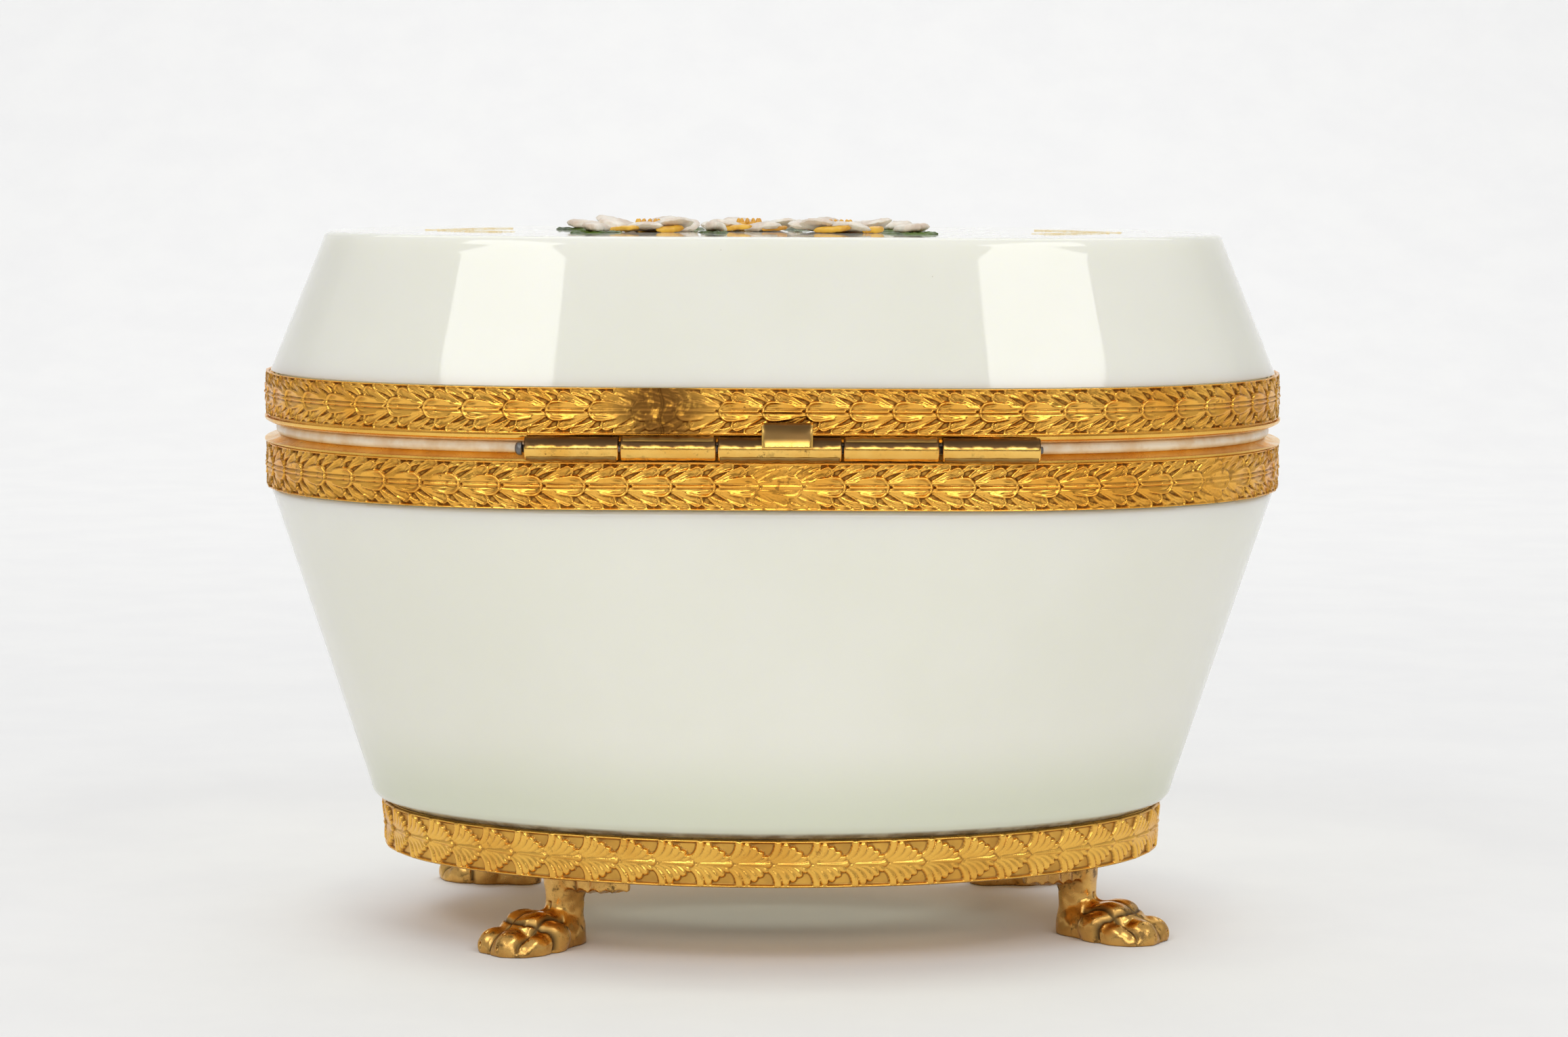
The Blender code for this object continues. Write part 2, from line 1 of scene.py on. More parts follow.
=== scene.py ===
"""Looks of the opaline vanity trinket box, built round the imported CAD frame.

Lengths in this script are in millimetres; make_mesh() turns them into metres.
The box stands on the floor at z = 0, its hinge at +Y and its front at -Y.
"""
import math

import bpy
import numpy as np
from mathutils import Matrix, Quaternion, Vector


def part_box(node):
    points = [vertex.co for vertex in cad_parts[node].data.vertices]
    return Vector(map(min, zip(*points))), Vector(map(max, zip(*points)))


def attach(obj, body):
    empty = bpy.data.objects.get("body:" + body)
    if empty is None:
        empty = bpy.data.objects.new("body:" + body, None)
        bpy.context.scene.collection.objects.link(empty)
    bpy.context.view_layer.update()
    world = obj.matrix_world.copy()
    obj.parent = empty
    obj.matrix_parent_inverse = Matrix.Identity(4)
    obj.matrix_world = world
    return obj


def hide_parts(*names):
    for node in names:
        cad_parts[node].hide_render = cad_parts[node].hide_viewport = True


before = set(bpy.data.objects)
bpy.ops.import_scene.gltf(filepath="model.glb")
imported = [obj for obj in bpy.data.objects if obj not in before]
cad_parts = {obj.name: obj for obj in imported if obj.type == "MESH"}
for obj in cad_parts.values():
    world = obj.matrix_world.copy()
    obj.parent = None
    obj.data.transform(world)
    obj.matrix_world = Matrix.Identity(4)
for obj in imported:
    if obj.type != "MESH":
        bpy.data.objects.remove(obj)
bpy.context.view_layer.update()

MM = 0.001
TAU = 2.0 * math.pi


def cad_box(node):
    """Lowest and highest corner of a CAD node, in millimetres."""
    low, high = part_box(node)
    return [c / MM for c in low], [c / MM for c in high]


def cad_span(node, axis):
    """Where a CAD node begins and ends along one axis."""
    low, high = cad_box(node)
    return low[axis], high[axis]


# ------------------------------------------------------------ driving sizes

X, Z = 0, 2
RIM_LOW, RIM_HIGH = cad_span("body_rim_gallery", Z)
LID_LOW, LID_HIGH = cad_span("lid_rim_gallery", Z)
BASE_LOW, BASE_HIGH = cad_span("base_gallery", Z)
LID_GLASS_LOW, LID_TOP = cad_span("lid_glass", Z)
BODY_GLASS_LOW, BODY_GLASS_HIGH = cad_span("body_glass", Z)
PIN_LOW, PIN_HIGH = cad_span("hinge_pin", X)

# half width, half depth, half length of the straight back, superellipse power
RIM_PLAN = (73.4, 46.5, 22.0, 2.2)
BASE_PLAN = (57.2, 38.0, 0.0, 2.0)
WALL_TOP_PLAN = (72.3, 45.4, 22.0, 2.2)
WALL_FOOT_PLAN = (58.6, 39.2, 0.0, 2.0)
WALL_FOOT = 20.6
WALL_TOP = 63.5
AXIS_Y = 46.7
AXIS_Z = 72.6
GLASS = 3.6
RIM_SEAT = 2.2                  # inset of the glass inside the rims
SWEEP_STEPS = 480
FINE_STEPS = 7200               # stations for measuring along a plan


# ------------------------------------------------------------ mesh helpers

def make_mesh(name, points, faces, sharp=None, **attributes):
    """A smooth object from points in millimetres, with optional point attributes.

    Edges that turn by more than sharp degrees stay sharp.
    """
    mesh = bpy.data.meshes.new(name)
    faces = faces.tolist() if isinstance(faces, np.ndarray) else faces
    mesh.from_pydata((np.asarray(points, float) * MM).tolist(), [], faces)
    for key, values in attributes.items():
        layer = mesh.attributes.new(key, "FLOAT", "POINT")
        layer.data.foreach_set("value", np.resize(np.asarray(values, np.float32), len(points)))
    mesh.validate()
    mesh.update()
    mesh.shade_smooth()
    if sharp is not None:
        mesh.set_sharp_from_angle(angle=math.radians(sharp))
    piece = bpy.data.objects.new(name, mesh)
    bpy.context.collection.objects.link(piece)
    return piece


def enclosed_volume(mesh):
    """Signed volume of a closed mesh: negative when its faces look inwards."""
    mesh.calc_loop_triangles()
    corners = np.empty(len(mesh.loop_triangles) * 3, np.int32)
    mesh.loop_triangles.foreach_get("vertices", corners)
    points = np.empty(len(mesh.vertices) * 3)
    mesh.vertices.foreach_get("co", points)
    a, b, c = points.reshape(-1, 3)[corners.reshape(-1, 3)].transpose(1, 0, 2)
    return float(np.einsum("ij,ij->i", a, np.cross(b, c)).sum())


def add_piece(name, points, faces, look, body, *nodes, sharp=None, **attributes):
    """Make a piece with its look and the body it moves with, and hide the CAD nodes it stands for.
    """
    piece = make_mesh(name, points, faces, sharp, **attributes)
    if enclosed_volume(piece.data) < 0.0:
        piece.data.flip_normals()
    material, slot = look
    piece.data.materials.append(material)
    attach(piece, body)
    if nodes:
        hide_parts(*nodes)


def grid_faces(rows, columns, close_rows, close_columns=True):
    """Quads of a rows x columns grid of points."""
    r = np.arange(rows if close_rows else rows - 1)
    c = np.arange(columns if close_columns else columns - 1)
    rr, cc = np.meshgrid(r, c, indexing="ij")
    r2, c2 = (rr + 1) % rows, (cc + 1) % columns
    quads = np.stack([rr * columns + cc, rr * columns + c2, r2 * columns + c2,
                      r2 * columns + cc], axis=-1)
    return quads.reshape(-1, 4)


def tube_faces(rows, columns):
    """Faces of a closed tube of rows, with a flat cap at each end."""
    faces = grid_faces(rows, columns, False).tolist()
    faces.append(list(range(columns))[::-1])
    faces.append(list(range((rows - 1) * columns, rows * columns)))
    return faces


def spin(points, turn, x=0.0, y=0.0, z=0.0):
    """Points turned by an angle about the upright axis, then moved."""
    c, s = math.cos(turn), math.sin(turn)
    return np.column_stack([x + points[:, 0] * c - points[:, 1] * s,
                            y + points[:, 0] * s + points[:, 1] * c, z + points[:, 2]])


def plan_points(plan, steps, inset=0.0):
    """Evenly spaced points and outward normals round a plan."""
    half_width, half_depth, straight, power = plan
    t = TAU * (np.arange(FINE_STEPS) + 0.5) / FINE_STEPS
    c, s = np.cos(t), np.sin(t)
    x = np.sign(c) * (straight + (half_width - straight) * np.abs(c) ** (2.0 / power))
    y = np.sign(s) * half_depth * np.abs(s) ** (2.0 / power)
    x, y = np.append(x, x[0]), np.append(y, y[0])
    arc = np.concatenate([[0.0], np.cumsum(np.hypot(np.diff(x), np.diff(y)))])
    want = arc[-1] * np.arange(steps) / steps
    px, py = np.interp(want, arc, x), np.interp(want, arc, y)
    dx = np.roll(px, -1) - np.roll(px, 1)
    dy = np.roll(py, -1) - np.roll(py, 1)
    size = np.hypot(dx, dy)
    normal = np.stack([dy / size, -dx / size], axis=-1)
    return np.stack([px, py], axis=-1) - normal * inset, normal


def plan_length(plan):
    points, _ = plan_points(plan, FINE_STEPS // 2)
    return float(np.hypot(*(np.roll(points, -1, 0) - points).T).sum())


def mixed_plan(low, high, share):
    return tuple(a + (b - a) * share for a, b in zip(low, high))


def wall_plan(z):
    return mixed_plan(WALL_FOOT_PLAN, WALL_TOP_PLAN, (z - WALL_FOOT) / (WALL_TOP - WALL_FOOT))


def ring_points(plan, inset, z, steps=SWEEP_STEPS):
    points, _ = plan_points(plan, steps, inset)
    return np.column_stack([points, np.full(steps, z)])


def smooth_profile(corners, steps):
    """Catmull-Rom curve through corners, with steps points per span."""
    p = np.asarray(corners, float)
    padded = np.vstack([2 * p[0] - p[1], p, 2 * p[-1] - p[-2]])
    out = []
    for i in range(len(p) - 1):
        a, b, c, d = padded[i:i + 4]
        for t in np.arange(steps) / steps:
            out.append(0.5 * (2 * b + (c - a) * t + (2 * a - 5 * b + 4 * c - d) * t ** 2
                              + (3 * b - a - 3 * c + d) * t ** 3))
    return np.array([*out, p[-1]]).tolist()


def swept_ring(plan, profile, steps=SWEEP_STEPS):
    """Points and faces of a closed ring from a closed profile of (inset, z)."""
    rows = np.array([ring_points(plan, inset, z, steps) for inset, z in profile])
    return rows.reshape(-1, 3), grid_faces(len(profile), steps, True)


# ------------------------------------------------------------ materials

class Nodes:
    """Small helper that builds a node tree on one kind of coordinates."""

    def __init__(self, tree, coordinates):
        self.nodes = tree.nodes
        self.links = tree.links
        self.place = self.node("TexCoord", coordinates, {})

    def node(self, kind, output, inputs, **settings):
        """New node; inputs holds values or source sockets by socket name or number."""
        node = self.nodes.new("ShaderNode" + kind)
        for key, value in settings.items():
            setattr(node, key, value)
        for key, value in inputs.items():
            if isinstance(value, bpy.types.NodeSocket):
                self.links.new(value, node.inputs[key])
            else:
                node.inputs[key].default_value = value
        return node.outputs[output]

    def noise(self, scale, detail=4.0, roughness=0.55, stretch=None):
        place = self.place
        if stretch is not None:
            place = self.node("Mapping", "Vector", {"Scale": stretch, "Vector": place})
        return self.node("TexNoise", "Fac", {"Scale": scale, "Detail": detail,
                                             "Roughness": roughness, "Vector": place})

    def ramp(self, source, low, high, to_low=0.0, to_high=1.0):
        return self.node("MapRange", "Result",
                         {"Value": source, "From Min": low, "From Max": high,
                          "To Min": to_low, "To Max": to_high}, interpolation_type="SMOOTHSTEP")

    def axis(self, name):
        return self.node("SeparateXYZ", name, {"Vector": self.place})

    def math(self, operation, first, second):
        return self.node("Math", "Value", {0: first, 1: second}, operation=operation)

    def mix(self, share, first, second):
        """Colour mix; first and second are colours or sockets."""
        ends = [(*end, 1.0) if isinstance(end, tuple) else end for end in (first, second)]
        return self.node("Mix", 2, {"Factor": share, 6: ends[0], 7: ends[1]}, data_type="RGBA")


class Shader(Nodes):
    """Node tree of one material, round its principled shader."""

    def __init__(self, name):
        self.material = bpy.data.materials.new(name)
        self.material.use_nodes = True
        super().__init__(self.material.node_tree, "Object")
        self.bsdf = self.nodes["Principled BSDF"]

    def set(self, **values):
        for key, value in values.items():
            self.bsdf.inputs[key.replace("_", " ")].default_value = value

    def link(self, source, target):
        self.links.new(source, self.bsdf.inputs[target])

    def bump(self, height, strength, distance):
        self.link(self.node("Bump", "Normal", {"Strength": strength, "Distance": distance,
                                               "Height": height}), "Normal")

    def lets_lamps_through(self, tint):
        """Lamps shine on through this surface, weakened and tinted."""
        clear = self.node("BsdfTransparent", "BSDF", {"Color": (*tint, 1.0)})
        shadow = self.node("LightPath", "Is Shadow Ray", {})
        both = self.node("MixShader", "Shader", {0: shadow, 1: self.bsdf.outputs["BSDF"], 2: clear})
        self.links.new(both, self.nodes["Material Output"].inputs["Surface"])


def opaline_material():
    """Milky, faintly green-yellow cased glass with a wet gloss."""
    s = Shader("opaline_glass")
    clouds = s.noise(38.0, 3.0)
    shade = s.mix(s.ramp(clouds, 0.3, 0.7), (0.800, 0.798, 0.705), (0.822, 0.818, 0.735))
    # painted shade: below about 34 mm the glass fades to a darker green-grey, for the dimmer light
    # at the foot of the body
    painted_low_shade = s.ramp(s.axis("Z"), 0.019, 0.034, 1.0, 0.0)
    shade = s.mix(painted_low_shade, shade, (0.68, 0.70, 0.57))
    joint = s.math("MULTIPLY", s.ramp(s.axis("Z"), 0.0187, 0.0193, 1.0, 0.0),
                   s.ramp(s.noise(300.0, 4.0), 0.3, 0.6, 0.6, 0.95))
    shade = s.mix(joint, shade, (0.13, 0.105, 0.075))
    cells = s.node("TexVoronoi", "Distance", {"Scale": 190.0, "Vector": s.place})
    specks = s.ramp(cells, 0.0, 0.035, 1.0, 0.0)
    rare = s.ramp(s.noise(90.0, 1.0), 0.66, 0.70)
    dirt = s.math("MULTIPLY", specks, rare)
    s.link(s.mix(dirt, shade, (0.30, 0.22, 0.10)), "Base Color")
    s.set(IOR=1.52, Subsurface_Weight=0.6, Subsurface_Scale=0.006,
          Subsurface_Radius=(1.0, 1.0, 0.75))
    s.link(s.ramp(s.noise(60.0), 0.3, 0.8, 0.035, 0.07), "Roughness")
    scratches = s.noise(420.0, 2.0, stretch=(1.0, 1.0, 0.08))
    waves = s.noise(22.0, 2.0)
    s.bump(s.math("ADD", s.math("MULTIPLY", scratches, 0.02), waves), 0.05, 0.0006)
    s.lets_lamps_through((0.985, 0.985, 0.93))
    return s.material, "opaline_glass"


def gilt_material(name, slot, bright, dull, dark, use_relief, stain_and_shade_strength, rough, spotted=0.0):
    """Old fire gilding: bright where rubbed, brown where it lies deep."""
    s = Shader(name)
    base = s.mix(s.ramp(s.noise(85.0, 6.0, 0.62), 0.40, 0.66), bright, dull)
    freckles = s.ramp(s.noise(900.0, 4.0, 0.7), 0.58, 0.74)
    stain_and_shade = s.math("MULTIPLY", freckles, s.ramp(s.noise(150.0, 4.0), 0.45, 0.65))
    spots = s.ramp(s.noise(330.0, 5.0, 0.68), 0.54, 0.66, 0.0, spotted)
    stain_and_shade = s.math("MAXIMUM", stain_and_shade, spots)
    # the grime attribute holds real grime and solder stains, and painted shade on the tops of the
    # knuckles and stop lug and along the foot bottoms
    if use_relief:
        relief, grime = (s.node("Attribute", "Fac", {}, attribute_name=key)
                         for key in ("relief", "grime"))
        deep = s.math("MULTIPLY", s.ramp(relief, 0.0, 0.30, 0.8, 0.0),
                      s.ramp(s.noise(240.0, 3.0), 0.30, 0.70, 0.35, 0.85))
        stain_and_shade = s.math("MAXIMUM", s.math("MAXIMUM", stain_and_shade, deep), grime)
    stain_and_shade = s.math("MULTIPLY", stain_and_shade, stain_and_shade_strength)
    s.link(s.mix(stain_and_shade, base, dark), "Base Color")
    s.set(Metallic=1.0)
    s.link(s.math("ADD", s.ramp(s.noise(320.0, 5.0), 0.3, 0.75, *rough),
                  s.math("MULTIPLY", stain_and_shade, 0.25)), "Roughness")
    fine = s.math("MULTIPLY", s.noise(2600.0, 3.0, 0.6), 0.4)
    s.bump(s.math("ADD", fine, s.noise(500.0, 4.0, 0.6)), 0.22, 0.00012)
    return s.material, slot


def plain_material(name, slot, first, second, scale, roughness, bump_size, coat=0.0, depth=None):
    """Two-tone rough mineral finish for plaster, enamel and paint."""
    s = Shader(name)
    s.link(s.mix(s.ramp(s.noise(scale, 5.0), 0.35, 0.65), first, second), "Base Color")
    s.link(s.ramp(s.noise(scale * 3.0), 0.3, 0.7, roughness * 0.8, roughness * 1.15), "Roughness")
    s.set(Coat_Weight=coat)
    if depth is not None:
        s.set(Subsurface_Weight=0.5, Subsurface_Scale=0.0012, Subsurface_Radius=depth)
    s.bump(s.noise(scale * 2.2, 6.0, 0.65), 0.6, bump_size)
    return s.material, slot


# each look is a material and a slot name that nothing here reads; gilding: bright, dull, and the
# dark colour of stains and painted shade, reads relief, strength of stains and painted shade,
# roughness, spots
OPALINE = opaline_material()
GALLERY_GOLD = gilt_material("gallery_gold", "gallery_brass", (0.95, 0.50, 0.085),
                             (0.86, 0.39, 0.05), (0.13, 0.052, 0.012), True, 0.90, (0.15, 0.30))
BASE_GOLD = gilt_material("base_gallery_gold", "base_gallery_brass", (0.93, 0.53, 0.10),
                          (0.82, 0.42, 0.07), (0.30, 0.145, 0.040), True, 0.85, (0.20, 0.36))
SMOOTH_GOLD = gilt_material("smooth_gold", "gilt_brass", (0.95, 0.57, 0.12), (0.80, 0.43, 0.07),
                            (0.12, 0.055, 0.020), False, 0.55, (0.16, 0.36))
HINGE_GOLD = gilt_material("hinge_gold", "hinge_brass", (0.97, 0.60, 0.15), (0.88, 0.47, 0.09),
                           (0.085, 0.045, 0.022), True, 0.96, (0.12, 0.26), 0.35)
FOOT_BRONZE = gilt_material("foot_bronze", "foot_bronze", (0.74, 0.43, 0.12), (0.44, 0.225, 0.06),
                            (0.030, 0.020, 0.013), True, 1.0, (0.18, 0.40), 0.75)
PALE_BRASS = plain_material("pale_brass", "gilt_brass", (0.92, 0.84, 0.68), (0.80, 0.62, 0.40),
                            260.0, 0.34, 0.00008, 0.2)
PIN_STEEL = gilt_material("pin_steel", "pin_steel", (0.22, 0.21, 0.20), (0.12, 0.115, 0.11),
                          (0.05, 0.035, 0.025), False, 0.6, (0.30, 0.50))
PLASTER = plain_material("plaster", "plaster", (0.70, 0.63, 0.46), (0.50, 0.42, 0.28), 160.0,
                         0.9, 0.0003)
WHITE_ENAMEL = plain_material("white_enamel", "white_enamel", (0.84, 0.77, 0.66),
                              (0.64, 0.52, 0.41), 330.0, 0.38, 0.00022, 0.25, (1.0, 0.80, 0.62))
YELLOW_ENAMEL = plain_material("yellow_enamel", "yellow_enamel", (0.88, 0.50, 0.04),
                               (0.66, 0.30, 0.02), 420.0, 0.36, 0.00016, 0.3)
GREEN_ENAMEL = plain_material("green_enamel", "green_enamel", (0.085, 0.150, 0.010),
                              (0.024, 0.050, 0.004), 360.0, 0.40, 0.00016, 0.05)
GOLD_PAINT = plain_material("gold_paint", "gold_paint", (0.80, 0.62, 0.30), (0.86, 0.78, 0.58),
                            500.0, 0.40, 0.00008)


# ------------------------------------------------------------ glass

def glass_shell(name, rows, body, node):
    """Closed glass vessel from a list of (plan, inset, z)."""
    points = np.concatenate([ring_points(plan, inset, z) for plan, inset, z in rows])
    add_piece(name, points, tube_faces(len(rows), SWEEP_STEPS), OPALINE, body, node, sharp=50.0)


def arc_steps(plan, inset, z, radius_inset, radius_z, first, last, steps):
    """Quarter-round stations on a plan about (inset, z); angles in degrees."""
    angles = np.radians(np.linspace(first, last, steps))
    return [(plan, inset - radius_inset * math.cos(a), z + radius_z * math.sin(a)) for a in angles]


def body_glass():
    bottom, top = BODY_GLASS_LOW, BODY_GLASS_HIGH
    foot_seat, swell_foot = 2.3, BASE_HIGH - 0.1
    rows = [(BASE_PLAN, foot_seat + 2.5, bottom)]
    rows += arc_steps(BASE_PLAN, foot_seat + 1.6, bottom + 1.6, 1.6, 1.6, -90.0, 0.0, 6)
    rows.append((BASE_PLAN, foot_seat, BASE_HIGH - 0.4))
    for angle in np.linspace(0.0, 1.0, 9) * math.pi / 2.0:
        # the foot of the wall swells out of the base ring in a short round
        ease = math.sin(angle)
        z = swell_foot + (WALL_FOOT - swell_foot) * (1.0 - math.cos(angle))
        rows.append((mixed_plan(BASE_PLAN, WALL_FOOT_PLAN, ease), foot_seat * (1.0 - ease), z))
    for z in np.linspace(WALL_FOOT + 1.5, WALL_TOP - 0.6, 20):
        rows.append((wall_plan(z), 0.0, z))
    rows += [(WALL_TOP_PLAN, 0.0, WALL_TOP), (RIM_PLAN, 1.35, RIM_LOW - 0.3),
             (RIM_PLAN, RIM_SEAT, RIM_LOW - 0.05), (RIM_PLAN, RIM_SEAT, top - 0.5)]
    rows += arc_steps(RIM_PLAN, RIM_SEAT + 0.5, top - 0.5, 0.5, 0.5, 0, 90, 4)[1:]
    rows += arc_steps(RIM_PLAN, RIM_SEAT + GLASS - 0.5, top - 0.5, 0.5, 0.5, 90, 180, 4)
    for z in np.linspace(WALL_TOP, WALL_FOOT + 4.0, 14):
        rows.append((wall_plan(z), GLASS + 0.2, z))
    for angle in np.linspace(0.0, 1.0, 7) * math.pi / 2.0:
        rows.append((WALL_FOOT_PLAN, GLASS + 0.2 + 5.0 * (1.0 - math.cos(angle)),
                     bottom + GLASS + 0.6 + 3.0 * (1.0 - math.sin(angle))))
    glass_shell("opaline_body", rows, "body", "body_glass")


# insets of the lid wall at its foot and top, and the radius of the edge on top
LID_FOOT_INSET, LID_TOP_INSET, LID_EDGE = 1.0, 8.6, 1.2
LID_WALL_FOOT, LID_WALL_TOP = LID_HIGH + 0.1, LID_TOP - LID_EDGE


def lid_side_inset(z):
    share = (LID_TOP_INSET - LID_FOOT_INSET) * (z - LID_WALL_FOOT) / (LID_WALL_TOP - LID_WALL_FOOT)
    return LID_FOOT_INSET + share


def lid_glass():
    low, foot, top = LID_GLASS_LOW, LID_WALL_FOOT, LID_WALL_TOP
    wall, ceiling = GLASS + 0.4, LID_TOP - GLASS
    outer = [(RIM_SEAT, low), (RIM_SEAT, foot - 0.2), (LID_FOOT_INSET, foot)]
    outer += [(lid_side_inset(z), z) for z in np.linspace(foot + 0.8, top, 12)]
    turn = math.degrees(math.atan2(LID_TOP_INSET - LID_FOOT_INSET, top - foot))
    edge = arc_steps(RIM_PLAN, LID_TOP_INSET + 1.2, top + 0.05, 1.2, LID_EDGE - 0.05, turn, 90.0, 8)
    outer += [(inset, z) for _, inset, z in edge[1:]]
    outer += [(LID_TOP_INSET + more, LID_TOP) for more in (4.0, 12.0, 20.0)]
    inner = [(RIM_SEAT + GLASS, low), (RIM_SEAT + GLASS, low + 4.8)]
    inner += [(lid_side_inset(z) + wall, z) for z in np.linspace(low + 7.0, top - 3.6, 9)]
    for angle in np.linspace(0.25, 1.0, 5) * math.pi / 2.0:
        inner.append((LID_TOP_INSET + wall - 1.2 + 3.2 * (1.0 - math.cos(angle)),
                      top - 3.4 + (ceiling - top + 3.4) * math.sin(angle)))
    inner.append((LID_TOP_INSET + 20.0, ceiling))
    rows = [(RIM_PLAN, inset, z) for inset, z in outer[::-1] + inner]
    glass_shell("opaline_lid", rows, "lid", "lid_glass")


# ------------------------------------------------------------ embossed galleries

RIM_PITCH = 5.8
BASE_PITCH = 5.4
UNIT_COLUMNS = 44
GALLERY_ROWS = 58
EMBOSS = 0.64                   # depth of the embossing


def soft_step(value, low, high):
    share = np.clip((value - low) / (high - low), 0.0, 1.0)
    return share * share * (3.0 - 2.0 * share)


def leaf_lobe(u, v, line, wide, kind):
    """Relief of one leaf or feather along a bent line from root to tip centre.

    A scooped leaf has a raised rim round its end; a plain one is a rounded rib.
    Both climb towards the tip, so that they lie over each other like tiles.
    """
    root, bend, tip = line
    t = np.linspace(0.0, 1.0, 22)[:, None, None]
    line_u = (1 - t) ** 2 * root[0] + 2 * t * (1 - t) * bend[0] + t ** 2 * tip[0]
    line_v = (1 - t) ** 2 * root[1] + 2 * t * (1 - t) * bend[1] + t ** 2 * tip[1]
    half = wide * (0.30 + 0.70 * np.sin(t * math.pi / 2.0) ** 1.3)
    ratio = np.hypot(u[None] - line_u, v[None] - line_v) / half
    nearest = ratio.argmin(axis=0)
    q = np.take_along_axis(ratio, nearest[None], axis=0)[0]
    along = t[:, 0, 0][nearest]
    end = soft_step(along, 0.45, 0.95)
    dome = np.sqrt(np.clip(1.0 - q * q, 0.0, 1.0))
    if kind == "scooped":
        height = 0.14 + 0.36 * along + 0.24 * dome * (1.0 - end)
        height += end * (0.40 * np.exp(-((q - 0.84) / 0.13) ** 2) - 0.24 * dome)
        height += 0.05 * np.cos(9.0 * q) * (1.0 - end)
    else:
        height = 0.12 + 0.30 * along + (0.34 + 0.22 * end) * dome
    return np.where(q < 1.0, height * soft_step(1.0 - q, 0.0, 0.10), 0.0)


def unit_grid(pitch, half_height):
    v = np.linspace(-half_height, half_height, GALLERY_ROWS)[:, None] * np.ones((1, UNIT_COLUMNS))
    u = np.ones((GALLERY_ROWS, 1)) * (np.arange(UNIT_COLUMNS) / UNIT_COLUMNS)[None] * pitch
    return u, v


def moved(line, along, side=1.0):
    return [(a + along, b * side) for a, b in line]


# root, bend and tip centre of the leaves of one repeat (u, v), and half width
RIM_LEAVES = (((8.4, 1.6), (7.0, 2.9), (5.6, 3.05), 0.50),
              ((7.4, 0.8), (5.8, 2.4), (4.1, 2.75), 0.66),
              ((6.6, 0.3), (4.8, 1.0), (2.55, 1.95), 0.82))
RIM_HEART = ((7.4, 0.0), (4.0, 0.0), (1.52, 0.0))
RIM_HEART_HALF = 1.50
BASE_FEATHERS = (((-2.8, 0.15), (0.9, 0.30), (1.05, 2.75), 0.56),
                 ((-1.9, 0.15), (1.9, 0.25), (2.15, 2.45), 0.58),
                 ((-1.0, 0.15), (2.8, 0.25), (3.15, 1.95), 0.56),
                 ((0.0, 0.10), (3.5, 0.22), (4.00, 1.40), 0.50),
                 ((1.2, 0.05), (4.1, 0.15), (4.70, 0.82), 0.42))
BASE_TIP = ((1.0, 0.0), (3.6, 0.0), (5.15, 0.0))


def rim_unit(half_height):
    """One repeat of the laurel chain, its leaf tips towards -u."""
    u, v = unit_grid(RIM_PITCH, half_height)
    relief = np.zeros_like(u)
    for o in (-2 * RIM_PITCH, -RIM_PITCH, 0.0, RIM_PITCH):
        for side in (-1.0, 1.0):
            for *line, wide in RIM_LEAVES:
                leaf = leaf_lobe(u, v, moved(line, o, side), wide, "scooped")
                relief = np.maximum(relief, leaf)
        heart = leaf_lobe(u, v, moved(RIM_HEART, o), RIM_HEART_HALF, "scooped")
        rib = 0.26 * np.exp(-(v / 0.13) ** 2) - 0.16 * np.exp(-((np.abs(v) - 0.34) / 0.12) ** 2)
        veins = 0.05 * np.cos(6.0 * (np.abs(v) - 0.30 * (u - o))) * (np.abs(v) > 0.45)
        heart = np.where(heart > 0.0, heart + 0.18 + rib + veins, 0.0)
        relief = np.maximum(relief, heart)
        dot = np.hypot(u - (RIM_HEART[2][0] - RIM_HEART_HALF - 0.12 + o), v) / 0.26
        relief = relief * soft_step(dot, 0.4, 1.0)
    lip = soft_step(np.abs(v), half_height - 0.30, half_height - 0.16)
    return np.clip(np.maximum(relief, 0.55 * lip), 0.0, 1.1)


def base_unit(half_height):
    """One repeat of the base band: winged acanthus leaves, tips towards +u."""
    u, v = unit_grid(BASE_PITCH, half_height)
    relief = np.zeros_like(u)
    for o in (-2 * BASE_PITCH, -BASE_PITCH, 0.0, BASE_PITCH):
        for side in (-1.0, 1.0):
            for *line, wide in BASE_FEATHERS:
                tip = line[-1]
                feather = leaf_lobe(u, v, moved(line, o, side), wide, "plain")
                relief = np.maximum(relief, feather)
                bead = np.hypot(u - tip[0] - 0.22 - o, v - (tip[1] + 0.14) * side) / 0.30
                relief = np.maximum(relief, np.sqrt(np.clip(1.0 - bead ** 2, 0.0, 1.0)))
        tip = leaf_lobe(u, v, moved(BASE_TIP, o), 0.48, "plain")
        rib = 0.22 * np.exp(-(v / 0.12) ** 2)
        relief = np.maximum(relief, np.where(tip > 0.0, tip + 0.10 + rib, 0.0))
    edge = half_height - np.abs(v)
    fillet = 0.85 * np.exp(-((edge - 0.26) / 0.14) ** 2)
    return np.clip(np.maximum(relief, fillet), 0.0, 1.1)


def crevices(relief, reach):
    """Where old polish collects: points lying below their surroundings."""
    soft = relief
    for _ in range(reach):
        padded = np.vstack([soft[:1], soft, soft[-1:]])
        soft = (padded[:-2] + padded[1:-1] + padded[2:]) / 3.0
        soft = (np.roll(soft, 1, 1) + soft + np.roll(soft, -1, 1)) / 3.0
    return np.clip((soft - relief - 0.02) * 8.0, 0.0, 1.0)


def lump(x, y, seed):
    """Smooth seeded unevenness of hand-laid enamel, from about -1 to 1."""
    phase = np.random.default_rng(seed).uniform(0.0, TAU, 6)
    wave = np.sin(1.1 * x + phase[0]) * np.cos(1.3 * y + phase[1])
    wave += 0.6 * np.sin(2.7 * x + phase[2]) * np.cos(2.3 * y + phase[3])
    wave += 0.35 * np.sin(5.3 * x + phase[4]) * np.cos(4.9 * y + phase[5])
    return wave / 1.95


